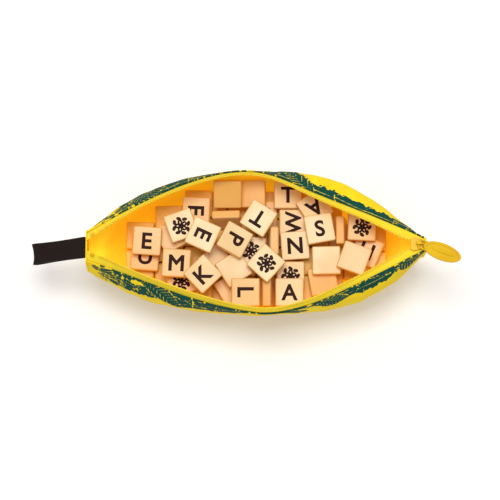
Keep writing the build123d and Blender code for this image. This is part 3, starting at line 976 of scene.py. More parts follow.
@dataclass(frozen=True)
class LeafBand:
    """The band of long leaves and ferns that hangs from the rim, with plain cloth below it.

    Pairs of numbers are the least and the most of a size that is drawn from the seed.
    """

    seed: int
    start: float = -101.0
    end: float = 116.0
    step: float = 19.0
    low_row: float = 8.5
    low_row_end: float = -5.0
    top_row: float = 1.5
    row_spread: Pair = (-2.0, 3.0)
    turned_back: float = 40.0
    leaf_length: Pair = (36, 50)
    leaf_width: Pair = (10, 14)
    leaf_bend: Pair = (-0.04, 0.04)
    leaf_tooth: Pair = (8.0, 12.0)
    fern_start: Pair = (18, 30)
    fern_step: float = 58.0
    fern_down: Pair = (-2.0, 1.5)
    fern_length: Pair = (20, 26)
    fern_width: Pair = (11, 14)
    fern_tooth: float = 2.3
    scraps: int = 7
    scrap_start: float = -106.0
    scrap_step: float = 2.9
    scrap_down: float = 2.0
    scrap_row: float = 3.1
    scrap_length: Pair = (7, 12)
    scrap_width: Pair = (3.4, 5.2)
    scrap_bend: Pair = (-0.08, 0.08)
    scrap_tooth: float = 9.0
    stem_depth: float = 17.0
    nose_depth: float = 10.0
    depth_start: float = 55.0
    depth_run: float = 60.0
    outline_gap: float = 0.35
    reach: float = 3.0

    def leaves(self) -> list[Leaf]:
        """Lay the leaves out.

        Returns:
            The leaves, from the lowest in the print to the uppermost.
        """
        pick = random.Random(self.seed)
        draw = pick.uniform
        laid: list[Leaf] = []
        place = self.start
        while place < self.end:
            for row, row_end in ((self.low_row, self.low_row_end), (self.top_row, self.end)):
                if place > row_end:
                    continue
                forward = pick.random() < 0.5
                leaf = Leaf(
                    pick.choice((LeafKind.BLADE, LeafKind.TORN)),
                    place + (0 if forward else self.turned_back),
                    row + draw(*self.row_spread),
                    draw(-8, 4) if forward else 180 + draw(-4, 8),
                    draw(*self.leaf_length),
                    draw(*self.leaf_width),
                    draw(*self.leaf_bend),
                    draw(*self.leaf_tooth),
                )
                laid.append(leaf)
            place += self.step
        place = self.start + draw(*self.fern_start)
        while place < self.end:
            down, heading = draw(*self.fern_down), pick.choice((24, 150)) + draw(-8, 8)
            size = draw(*self.fern_length), draw(*self.fern_width), draw(*self.leaf_bend)
            laid.append(Leaf(LeafKind.FERN, place, down, heading, *size, self.fern_tooth))
            place += self.fern_step + draw(-6, 6)
        for scrap in range(self.scraps):
            place = self.scrap_start + scrap * self.scrap_step + draw(-1.5, 1.5)
            down = self.scrap_down + (scrap * 2 % 5) * self.scrap_row + draw(-1.2, 1.2)
            heading = pick.choice((10, 40, 160)) + draw(-14, 14)
            size = draw(*self.scrap_length), draw(*self.scrap_width), draw(*self.scrap_bend)
            laid.append(Leaf(LeafKind.BLADE, place, down, heading, *size, self.scrap_tooth))
        return laid

    def field(self, along: np.ndarray, down: np.ndarray) -> np.ndarray:
        """Signed distance of points on the cloth from the edge of the ink, in millimetres.

        Args:
            along: Places along the rim in millimetres.
            down: Distances below the rim in millimetres.

        Returns:
            The distances, which are above 0 on the ink.
        """
        found = np.full(along.shape, -self.reach)
        for leaf in self.leaves():
            outline, ink = leaf.ink(along, down)
            found = np.where(outline > -self.outline_gap, ink, found)
        deeper = np.clip((self.depth_start - along) / self.depth_run, 0, 1)
        depth = self.nose_depth + (self.stem_depth - self.nose_depth) * deeper
        depth += 2.6 * np.sin(along / 9.0 + self.seed) + 1.5 * np.sin(along / 3.7)
        return np.clip(np.minimum(found, depth - down), -self.reach, self.reach)


# --- cloth pieces ---


def blank_grid(columns: int, rows: int) -> tuple[np.ndarray, np.ndarray]:
    """Room for columns by rows of points, and for their flat places on the cloth."""
    return np.empty((columns, rows, 3)), np.empty((columns, rows, 2))


def lay_grid(
    name: str, points: np.ndarray, cloth_places: np.ndarray, outside: Sequence[float] | None = None
) -> Object:
    """Lay a grid primitive over a surface.

    Args:
        name: The piece's name.
        points: Columns by rows of points, in millimetres.
        cloth_places: Columns by rows of flat places on the cloth, in millimetres.
        outside: A point in millimetres that the faces look away from, or None to look toward +Z.

    Returns:
        The piece, with a UVMap in metres of cloth.
    """
    columns, rows = points.shape[:2]
    deselect()
    bpy.ops.mesh.primitive_grid_add(x_subdivisions=columns - 1, y_subdivisions=rows - 1, size=1)
    piece = name_last(name)
    mesh = piece.data
    flat = np.empty(len(mesh.vertices) * 3)
    mesh.vertices.foreach_get("co", flat)
    flat = flat.reshape(-1, 3)
    i = np.rint((flat[:, 0] + 0.5) * (columns - 1)).astype(int)
    j = np.rint((flat[:, 1] + 0.5) * (rows - 1)).astype(int)
    mesh.vertices.foreach_set("co", (points[i, j] * MM).ravel())
    loops = np.empty(len(mesh.loops), dtype=np.int64)
    mesh.loops.foreach_get("vertex_index", loops)
    layer = mesh.uv_layers.active or mesh.uv_layers.new(name="UVMap")
    layer.name = "UVMap"
    layer.data.foreach_set("uv", (cloth_places[i[loops], j[loops]] * MM).ravel())
    mesh.update()
    normals = np.array([p.normal for p in mesh.polygons])
    centres = np.array([p.center for p in mesh.polygons])
    away = np.array([[0.0, 0.0, 1.0]]) if outside is None else centres - np.array(outside) * MM
    if float((normals * away).sum()) < 0:
        shape_all(piece, bpy.ops.mesh.flip_normals)
    return piece


def thicken(piece: Object, thickness: float, offset: float = -1.0) -> None:
    """Give a sheet its thickness.

    Args:
        piece: The sheet.
        thickness: Its thickness in millimetres.
        offset: -1 for all of it behind the sheet's face, 0 for half and 1 for none.
    """
    solidify = piece.modifiers.new("cloth", "SOLIDIFY")
    solidify.thickness = thickness * MM
    solidify.offset = offset
    apply_all(piece)
    bpy.ops.object.shade_smooth()


def run_along(line: np.ndarray) -> np.ndarray:
    """Distance of each of a line's points from its start, along the line."""
    return np.concatenate([[0], np.cumsum(np.linalg.norm(np.diff(line, axis=0), axis=1))])


def spaced(line: np.ndarray, shares: np.ndarray) -> tuple[np.ndarray, np.ndarray]:
    """Points of a line at shares of its length.

    Args:
        line: Rows of two coordinates.
        shares: Shares from 0 at its start to 1 at its end.

    Returns:
        The points, and their distances along the line.
    """
    run = run_along(line)
    wanted = shares * run[-1]
    return np.column_stack([np.interp(wanted, run, line[:, k]) for k in (0, 1)]), wanted


def soft_noise(x: float, y: float, z: float, size: float) -> float:
    """Smooth noise from -1 to 1 with folds of about size millimetres."""
    return noise.noise(Vector((x / size, y / size, z / size)))


def vertex_uv(piece: Object) -> np.ndarray:
    """Flat cloth place of each vertex of a sheet, in metres.

    Args:
        piece: The sheet.

    Returns:
        Rows of the place along the cloth and across it.
    """
    mesh = piece.data
    loops = np.empty(len(mesh.loops), dtype=np.int64)
    mesh.loops.foreach_get("vertex_index", loops)
    uv = np.empty(len(mesh.loops) * 2)
    mesh.uv_layers["UVMap"].data.foreach_get("uv", uv)
    found = np.zeros((len(mesh.vertices), 2))
    found[loops] = uv.reshape(-1, 2)
    return found


def mark_points(piece: Object, name: str, values: np.ndarray) -> None:
    """Give each vertex of a piece a value that its material reads."""
    piece.data.attributes.new(name, "FLOAT", "POINT").data.foreach_set("value", values.astype(np.float32))


@dataclass(frozen=True)
class PouchCloth:
    """The two printed side panels, the plain base, the lining and both end pieces.

    Toward each end the lining slumps inward, from a place along the pouch and over a distance.
    """

    form: PouchForm
    finishes: Finishes
    cloth: float = 0.85
    base_cloth: float = 0.8
    lining_cloth: float = 0.55
    lining_gap: float = 0.6
    lining_fold: float = 1.4
    hem: float = 1.6
    panel_columns: int = 330
    panel_rows: int = 62
    rim_crowding: float = 1.35
    calm_edge: float = 6.0
    dent: float = 0.12
    trough_columns: int = 150
    base_rows: int = 60
    lining_rows: int = 120
    stem_slack: Pair = (87.0, 14.0)
    nose_slack: Pair = (86.0, 9.0)
    slack_rise: float = 15.0
    slack_fullness: float = 0.65
    fold_start: float = 38.0
    fold_run: float = 6.0
    base_cut: float = 0.085
    lining_cut: float = 0.2
    end_columns: int = 49
    end_rows: int = 17

    def side_panel(self, node: str, side: int) -> None:
        """Build one side panel from the gusset's seam to the rim, with its leaf print.

        Args:
            node: The node that it stands for.
            side: -1 for the near side and 1 for the far side.
        """
        places = self.form.along(self.panel_columns)
        top_share = np.linspace(0, 1, self.panel_rows) ** self.rim_crowding
        points, flat = blank_grid(self.panel_columns, self.panel_rows)
        for i, x in enumerate(places):
            line = self.form.side_line(x, side, 0, self.form.gusset_angle, 1.0)[::-1]
            spots, down = spaced(line, top_share)
            for j, (y, z) in enumerate(spots):
                calm = min(1.0, down[j] / self.calm_edge) * min(1.0, (down[-1] - down[j]) / self.calm_edge)
                swell = 1.1 * soft_noise(x, y * 1.3, z * 1.3, 26.0)
                pleat = 0.8 * soft_noise(x + side * 50, z * 0.25, down[j] * 0.15, 8.5)
                drag = 0.5 * soft_noise(x * 0.8 + z * 0.6, z - x * 0.3, side * 9.0, 6.5)
                points[i, j] = (x, y + side * max(calm * (swell + pleat + drag), -self.dent), z)
            flat[i, :, 0] = x
            flat[i, :, 1] = -down
        piece = lay_grid(f"{node}_cloth", points, flat, (0, 0, 30))
        along, up = vertex_uv(piece).T
        depth = np.interp(along, places * MM, flat[:, -1, 1] * -MM)
        mark_points(piece, "hem", depth + up - self.hem * MM)
        band = LeafBand(seed=11 if side < 0 else 23)
        mark_points(piece, "leaf_print", band.field(along / MM, -up / MM))
        thicken(piece, self.cloth)
        dress(piece, self.finishes.printed)
        stand_for(piece, node, "pouch")

    def slack(self, x: float) -> float:
        """How far the lining has slumped inward, from 0 beside the tiles to 1 near either end."""
        start, run = self.stem_slack if x < 0 else self.nose_slack
        return eased((abs(x) - start) / run)

    def trough(
        self, name: str, inset: float, top: Callable[[float], float] | None, rows: int, fold: float
    ) -> Object:
        """Build a sheet that runs from one side, under the belly, to the other.

        Args:
            name: The piece's name.
            inset: How far inside the outer faces it runs.
            top: Share of the wall at which it ends, or None to end at the gusset's seam.
            rows: Points across.
            fold: Depth of its soft folds.

        Returns:
            The sheet, without its thickness.
        """
        sliver = 0.001
        points, flat = blank_grid(self.trough_columns, rows)
        for i, x in enumerate(self.form.along(self.trough_columns)):
            bow = self.form.bow(x)
            sides = []
            for side in (-1, 1):
                line = self.form.side_line(x, side, inset, 0, top(x) if top else sliver)
                if top is None:
                    seam_z = self.form.side_line(x, side, 0, self.form.gusset_angle, sliver)[0][1]
                    line = line[line[:, 1] <= seam_z + sliver]
                sides.append(line)
            spots, run = spaced(np.vstack([sides[0][::-1], sides[1]]), np.linspace(0, 1, rows))
            slack = self.slack(x) if top else 0.0
            half, brim, bottom = abs(spots[0][0] - bow), spots[0][1], spots[rows // 2][1]
            for j, (y, z) in enumerate(spots):
                if slack > 0:
                    level = (z - bottom) / (brim - bottom)
                    hung = math.copysign(half * max(level, 0.0) ** self.slack_fullness, y - bow)
                    y += slack * (hung - (y - bow))
                    z += slack * self.slack_rise * (1 - level)
                edge = min(1.0, run[j] / 5) * min(1.0, (run[-1] - run[j]) / 5)
                calm = edge * max(0.0, min(1.0, (z - self.fold_start) / self.fold_run))
                fold_in = fold * calm * max(0.0, soft_noise(x * 0.8, y * 0.4, z, 13.0) + 0.25)
                points[i, j] = (x, y - math.copysign(fold_in, y - bow), max(z, inset))
            flat[i, :, 0] = x
            flat[i, :, 1] = run
        return lay_grid(name, points, flat)

    def base(self) -> None:
        """Build the plain base gusset, flat where the pouch rests."""
        piece = self.trough("base_gusset_cloth", 0.0, None, self.base_rows, 0.0)
        shape_all(piece, bpy.ops.mesh.flip_normals)
        thicken(piece, self.base_cloth)
        dress(piece, self.finishes.plain)
        stand_for(piece, "base_gusset", "pouch")

    def inner_bag(self) -> None:
        """Build the lining, with soft folds above the tiles."""
        inset = self.form.lining_inset + self.lining_gap
        piece = self.trough("lining_cloth", inset, self.form.lining_share, self.lining_rows, self.lining_fold)
        thicken(piece, self.lining_cloth)
        dress(piece, self.finishes.lining)
        stand_for(piece, "lining", "pouch")

    def end_piece(self, node: str, x: float, thickness: float, drop: float) -> None:
        """Build a flat end piece that closes the pouch.

        Args:
            node: The node that it stands for.
            x: Place of its outer face.
            thickness: Thickness toward +X, or toward -X if negative.
            drop: How far below the rim it ends.
        """
        top = 1 - drop / (self.form.rim(x) - self.form.widest(x))
        near, far = [self.form.side_line(x, side, 0, 0, top) for side in (-1, 1)]
        outline, run = spaced(np.vstack([near[::-1], far]), np.linspace(0, 1, self.end_columns))
        points, flat = blank_grid(self.end_columns, self.end_rows)
        share = np.linspace(0, 1, self.end_rows)
        for i, (y, z) in enumerate(outline):
            top_y = outline[0][0] + (outline[-1][0] - outline[0][0]) * run[i] / run[-1]
            points[i, :, 0] = x
            points[i, :, 1] = flat[i, :, 0] = y + (top_y - y) * share
            points[i, :, 2] = flat[i, :, 1] = z + (outline[0][1] - z) * share
        piece = lay_grid(f"{node}_cloth", points, flat)
        thicken(piece, abs(thickness), 1.0)
        extent = np.array([v.co.x for v in piece.data.vertices]) / MM
        shift = x + thickness / 2 - (extent.min() + extent.max()) / 2
        piece.data.transform(Matrix.Translation((shift * MM, 0, 0)))
        merge_doubles = partial(bpy.ops.mesh.remove_doubles, threshold=0.02 * MM)
        shape_all(piece, merge_doubles, face_outward)
        bpy.ops.object.shade_smooth_by_angle(angle=math.radians(40))
        dress(piece, self.finishes.plain)
        stand_for(piece, node, "pouch")

    def build(self) -> None:
        """Build every cloth piece of the pouch."""
        self.side_panel("front_panel", -1)
        self.side_panel("rear_panel", 1)
        self.base()
        self.inner_bag()
        self.end_piece("stem_end_panel", -self.form.stem_length, -0.9, 0.0)
        self.end_piece("nose_binding", self.form.nose_length, 1.6, 2.5)


# --- zip ---


@dataclass(frozen=True)
class Zip:
    """Both tapes folded over the rim, and the two coils along their free edges."""

    form: PouchForm
    finishes: Finishes
    tape: float = 0.65
    tape_columns: int = 200
    tape_rows: int = 22
    fold_reach: float = 1.1
    pitch: float = 2.0
    wire: float = 0.52
    coil_width: float = 2.2
    coil_height: float = 0.8
    overhang: float = 0.8
    seat: float = 0.08
    coil_end: float = 107.0
    coil_start: float = -103.0
    turn_steps: int = 10
    probe: float = 0.1

    def tape_sheet(self, node: str, side: int) -> None:
        """Build one tape with a soft fold at the rim.

        Args:
            node: The node that it stands for.
            side: -1 for the near side and 1 for the far side.
        """
        points, flat = blank_grid(self.tape_columns, self.tape_rows)
        t = np.linspace(0, 1, 9)[:, None]
        for i, x in enumerate(self.form.along(self.tape_columns)):
            low, fold, edge = self.form.tape_line(x, side)
            reaches = [min(1, self.fold_reach / np.linalg.norm(end - fold)) for end in (low, edge)]
            into, out = fold + (low - fold) * reaches[0], fold + (edge - fold) * reaches[1]
            bend = (1 - t) ** 2 * into + 2 * t * (1 - t) * fold + t**2 * out
            spots, run = spaced(np.vstack([low, bend, edge]), np.linspace(0, 1, self.tape_rows))
            points[i, :, 0] = flat[i, :, 0] = x
            points[i, :, 1:] = spots
            flat[i, :, 1] = run
        piece = lay_grid(f"{node}_weave", points, flat, (0, 0, 20))
        thicken(piece, self.tape)
        dress(piece, self.finishes.tape)
        stand_for(piece, node, "pouch")

    def edge_frame(self, x: float, side: int) -> tuple[Vector, Vector, Vector]:
        """Place of the coil on a tape's free edge.

        Args:
            x: Place along the pouch.
            side: -1 for the near side and 1 for the far side.

        Returns:
            Middle of the coil's band, its direction across and its direction up.
        """
        _, fold, edge = self.form.tape_line(x, side)
        ahead = self.form.tape_line(x + self.probe, side)[2]
        across = Vector((0, *(edge - fold))).normalized()
        along = Vector((self.probe, *(ahead - edge))).normalized()
        up = along.cross(across) * -side
        middle = Vector((x, *edge)) + across * (self.overhang - self.coil_width / 2)
        return middle + up * (self.coil_height / 2 + self.seat), across, up

    def turns(self, side: int) -> list[float]:
        """Places of a coil's turns, evenly spaced along the tape's edge.

        Args:
            side: -1 for the near side and 1 for the far side, half a pitch from the other one.

        Returns:
            Places along the pouch, from the nose to the stem.
        """
        x = self.coil_end - (self.pitch / 2 if side > 0 else self.pitch)
        found: list[float] = []
        while x > self.coil_start:
            found.append(x)
            edge, ahead = self.form.tape_line(x, 1)[2], self.form.tape_line(x - self.probe, 1)[2]
            x -= self.pitch / math.dist((0, *edge), (self.probe, *ahead)) * self.probe
        return found

    def coil(self, node: str, side: int) -> None:
        """Wind one coil along its tape.

        Args:
            node: The node that it stands for.
            side: -1 for the near side and 1 for the far side.
        """
        turns = self.turns(side)
        line: list[Vector] = []
        reach, rise = (self.coil_width - self.wire) / 2, (self.coil_height - self.wire) / 2
        for k in range((len(turns) - 1) * self.turn_steps):
            share = k / self.turn_steps
            middle, across, up = self.edge_frame(float(np.interp(share, range(len(turns)), turns)), side)
            phase = 2 * math.pi * (share % 1)
            line.append(middle + across * reach * math.cos(phase) + up * rise * math.sin(phase))
        curve = bpy.data.curves.new(f"{node}_wire", "CURVE")
        curve.dimensions = "3D"
        curve.bevel_depth = self.wire / 2 * MM
        curve.bevel_resolution = 1
        curve.use_fill_caps = True
        spline = curve.splines.new("POLY")
        spline.points.add(len(line) - 1)
        for point, spot in zip(spline.points, line):
            point.co = (*(spot * MM), 1)
        wire = bpy.data.objects.new(f"{node}_wire", curve)
        show(wire)
        select(wire)
        bpy.ops.object.convert(target="MESH")
        wire = name_last(f"{node}_wire")
        bpy.ops.object.shade_smooth()
        dress(wire, self.finishes.coil)
        stand_for(wire, node, "pouch")

    def build(self) -> None:
        """Build the tapes and coils."""
        for end, side in (("front", -1), ("rear", 1)):
            self.tape_sheet(f"{end}_zip_tape", side)
            self.coil(f"{end}_zip_coil", side)


@dataclass(frozen=True)
class Pull:
    """The moulded oval on the slider, with a raised rim and a plain ridge down its middle."""

    finishes: Finishes
    hinge: Triple = (105.024, -4.8, 67.003)
    yaw: float = -20.0
    droop: float = 6.0
    length: float = 28.5
    width: float = 11.0
    thickness: float = 2.4
    eye: float = 3.0
    eye_width: float = 4.0
    arm: float = 1.1
    bar: float = 0.768
    rim: float = 1.5
    recess: float = 0.45
    ridge_share: Pair = (0.66, 0.2)
    ridge_height: float = 0.62

    @property
    def half(self) -> float:
        """Half the oval's length."""
        return (self.length - self.eye) / 2

    def place(self) -> Matrix:
        """Place of the pull in the row frame.

        Returns:
            A placing whose X runs from the bar to the far end and whose Z is up.
        """
        turn, dip = math.radians(self.yaw), math.radians(self.droop)
        along = Vector((math.cos(turn) * math.cos(dip), math.sin(turn) * math.cos(dip), -math.sin(dip)))
        up = Vector((math.cos(turn) * math.sin(dip), math.sin(turn) * math.sin(dip), math.cos(dip)))
        return placing(self.hinge, along, up.cross(along), up)

    def oval(self) -> Object:
        """Build the domed oval with its dished middle.

        Returns:
            The oval, along X from the bar.
        """
        size, middle = (self.half, self.width / 2, 1), (self.eye + self.half, 0, -self.thickness / 2)
        circle = bpy.ops.mesh.primitive_circle_add
        oval = start_from("zip_pull_oval", circle, size, middle, vertices=64, fill_type="NGON")
        bpy.ops.object.mode_set(mode="EDIT")
        bpy.ops.mesh.select_all(action="SELECT")
        bpy.ops.mesh.extrude_region_move(TRANSFORM_OT_translate={"value": (0, 0, self.thickness * MM)})
        bpy.ops.mesh.inset(thickness=self.rim * MM)
        bpy.ops.mesh.extrude_region_move(TRANSFORM_OT_translate={"value": (0, 0, -self.recess * MM)})
        shape_all(oval, face_outward)
        round_edges(oval, 0.38, 4, 35)
        return oval

    def ridge(self) -> Object:
        """Build the ridge that runs down the dished middle.

        Returns:
            The ridge.
        """
        along, across = self.ridge_share
        size = (self.half * along, self.width / 2 * across, self.ridge_height)
        middle = (self.eye + self.half, 0, self.thickness / 2 - self.recess)
        ridge = start_from("zip_pull_ridge", bpy.ops.mesh.primitive_uv_sphere_add, size, middle)
        bpy.ops.object.shade_smooth()
        return ridge

    def eye_parts(self) -> list[Object]:
        """Build the two arms and the bar that turns in the bail.

        Returns:
            The three parts.
        """
        parts = []
        offset = (self.eye_width + self.arm) / 2
        reach = self.eye + self.half / 3
        for end, side in (("left", -1), ("right", 1)):
            size, middle = (reach, self.arm, self.arm), (reach / 2, side * offset, 0)
            arm = start_from(f"zip_pull_arm_{end}", bpy.ops.mesh.primitive_cube_add, size, middle, size=1)
            round_edges(arm, 0.3)
            parts.append(arm)
        rod = partial(bpy.ops.mesh.primitive_cylinder_add, rotation=(math.pi / 2, 0, 0))
        bar = start_from("zip_pull_bar", rod, (1, 1, 1), vertices=24, radius=self.bar, depth=2 * offset)
        round_edges(bar, 0.15, 2)
        return [*parts, bar]

    def build(self) -> None:
        """Build the pull and hang it on its body."""
        pull = join([self.oval(), self.ridge(), *self.eye_parts()])
        pull.name = pull.data.name = "zip_pull_moulding"
        bake_place(pull, self.place())
        dress(pull, self.finishes.pull)
        stand_for(pull, "zip_pull", "pull")


# --- strap ---


@dataclass(frozen=True)
class Strap:
    """Webbing folded into a flat loop and sewn into the seam at the strap end."""

    finishes: Finishes
    root: Triple = (-112.474, -6.2, 59.0)
    width: float = 13.6
    waist: float = 0.05
    webbing: float = 1.15
    length: float = 37.0
    fold: float = 5.0
    droop: float = 22.0
    yaw: float = 4.0
    pinch: float = 1.3
    ripple: float = 0.3
    lead: float = 1.85
    layer_gap: float = 0.04
    columns: int = 110
    rows: int = 19
    bend_run: float = 5.0

    def place(self) -> Matrix:
        """Place of the strap in the row frame.

        Returns:
            A placing whose X runs away from the pouch, its Y up and its Z across.
        """
        turn, dip = math.radians(self.yaw), math.radians(self.droop)
        along = Vector((-math.cos(turn) * math.cos(dip), -math.sin(turn) * math.cos(dip), -math.sin(dip)))
        across = Vector((-math.sin(turn), math.cos(turn), 0))
        return placing(self.root, along, across.cross(along), across)

    def loop_line(self) -> np.ndarray:
        """Middle line of the webbing from the seam, round the fold and back.

        Returns:
            Rows of the strap's X and Y in millimetres.
        """
        middle = self.length - self.fold / 2
        near = self.webbing / 2 + self.layer_gap
        far = (self.fold - self.webbing) / 2
        run = np.linspace(0, 1, 30)
        ease = run**2 * (3 - 2 * run)
        top = np.column_stack([(middle + self.lead) * run - self.lead, near + (far - near) * ease])
        turn = np.linspace(math.pi / 2, -math.pi / 2, 15)[1:-1]
        fold = np.column_stack([middle + far * np.cos(turn), far * np.sin(turn)])
        return np.vstack([top, fold, top[::-1] * (1, -1)])

    def build(self) -> None:
        """Build the strap, hanging from its root at the seam."""
        path, wanted = spaced(self.loop_line(), np.linspace(0, 1, self.columns))
        place = self.place()
        points, flat = blank_grid(self.columns, self.rows)
        for i, (u, v) in enumerate(path):
            far = max(0.0, min(1.0, u / self.length))
            half = self.width / 2 * (1 - self.waist * math.sin(math.pi * far))
            for j, w in enumerate(np.linspace(-1, 1, self.rows)):
                pulled = self.pinch * (1 - w * w) * far**4
                lifted = self.ripple * math.sin(w * 2.4 + far * 7) * far
                points[i, j] = place @ (Vector((u - pulled, v + lifted, w * half)) * MM) / MM
                flat[i, j] = (wanted[i], w * half)
        piece = lay_grid("strap_webbing", points, flat)
        thicken(piece, self.webbing, 0.0)
        shape_all(piece, face_outward)
        bpy.ops.object.shade_smooth_by_angle(angle=math.radians(50))
        dress(piece, self.finishes.webbing)
        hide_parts("strap_loop")
        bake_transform(piece)
        LOG.info("%s: %.1f mm of webbing", piece.name, wanted[-1])


# --- tiles ---


class Print(Enum):
    """What a tile's face carries."""

    BLANK = "blank"
    FLOWER = "flower"
    LETTER = "letter"


@dataclass(frozen=True)
class TileSeat:
    """How one tile lies: turned about Z, nodded toward -Y and tipped toward +X; its face and its painted warm
    shade.
    """

    node: str
    turn: float
    nod: float
    tip: float
    mark: str = ""
    warm_shade: float = 0.0

    @property
    def print_kind(self) -> Print:
        """What the tile carries.

        Returns:
            The kind of print.
        """
        if self.mark == "flower":
            return Print.FLOWER
        return Print.LETTER if self.mark else Print.BLANK

    def turned(self) -> Matrix:
        """The tile's turn in the row frame."""
        x, y, z = (math.radians(v) for v in (self.nod, self.tip, self.turn))
        return Matrix.Rotation(y, 4, "Y") @ Matrix.Rotation(x, 4, "X") @ Matrix.Rotation(z, 4, "Z")


# warm_shade is painted shade for tiles in shade or in the orange light near the lining
SEATS = (
    TileSeat("tile_on_edge_centre", 0.0, 0.0, -84.0),
    TileSeat("tile_on_edge_right", 3.0, 0.0, 80.0, warm_shade=0.4),
    TileSeat("tile_on_edge_near", 0.0, 0.0, 80.0, warm_shade=0.4),
    TileSeat("tile_on_edge_left", 4.0, 76.0, 0.0, warm_shade=0.3),
    TileSeat("tile_u", -4.0, 4.0, 3.0, "U", warm_shade=0.5),
    TileSeat("tile_flower_near", 20.0, 6.0, 0.0, "flower", warm_shade=0.35),
    TileSeat("tile_e_far", -92.0, 4.0, 0.0, "E", warm_shade=0.42),
    TileSeat("tile_under_flower", 28.0, 3.0, -8.0, warm_shade=0.3),
    TileSeat("tile_amber", 10.0, 4.0, 0.0, warm_shade=0.7),
    TileSeat("tile_h", -24.0, 2.0, -4.0, "H", warm_shade=0.35),
    TileSeat("tile_flower_side", -6.0, 4.0, 0.0, "flower"),
    TileSeat("tile_flower_low", 0.0, 4.0, 0.0, "flower", warm_shade=0.3),
    TileSeat("tile_m_side", 90.0, 2.0, 0.0, "W", warm_shade=0.22),
    TileSeat("tile_c", 0.0, 3.0, 4.0, "C", warm_shade=0.5),
    TileSeat("tile_blank_far", 0.0, 6.0, -8.0, warm_shade=0.7),
    TileSeat("tile_fan_low", 30.0, 5.0, 6.0, warm_shade=0.2),
    TileSeat("tile_fan_middle", 38.0, 3.0, 6.0),
    TileSeat("tile_fan_high", 33.0, 4.0, 5.0),
    TileSeat("tile_e_left", -4.0, 10.0, 0.0, "E", warm_shade=0.3),
    TileSeat("tile_m", -3.0, 3.0, 2.0, "M", warm_shade=0.38),
    TileSeat("tile_flower_left", 20.0, 5.0, 3.0, "flower"),
    TileSeat("tile_k", 44.0, 6.0, 3.0, "K", warm_shade=0.15),
    TileSeat("tile_p", -118.0, 2.0, 12.0, "P", warm_shade=0.12),
    TileSeat("tile_e_middle", -114.0, 5.0, 2.0, "E"),
    TileSeat("tile_blank_top_left", 0.0, 26.0, 0.0, warm_shade=0.75),
    TileSeat("tile_t_middle", 147.0, 5.0, -5.0, "T"),
    TileSeat("tile_t_top", 0.0, 4.0, 0.0, "T", warm_shade=0.2),
    TileSeat("tile_a_top", -147.0, 3.0, 3.0, "A", warm_shade=0.2),
    TileSeat("tile_n", 4.0, 10.0, 0.0, "N"),
    TileSeat("tile_s", 10.0, 5.0, 2.0, "S"),
    TileSeat("tile_blank_s", 1.0, 4.0, 0.0),
    TileSeat("tile_flower_right", -2.0, 8.0, 2.0, "flower", warm_shade=0.3),
    TileSeat("tile_blank_right", -20.0, 3.0, 0.0, warm_shade=0.18),
    TileSeat("tile_flower_centre", 48.0, 4.0, 0.0, "flower"),
    TileSeat("tile_a_low", 0.0, 4.0, 0.0, "A", warm_shade=0.2),
    TileSeat("tile_l", -90.0, 4.0, 0.0, "L", warm_shade=0.45),
)


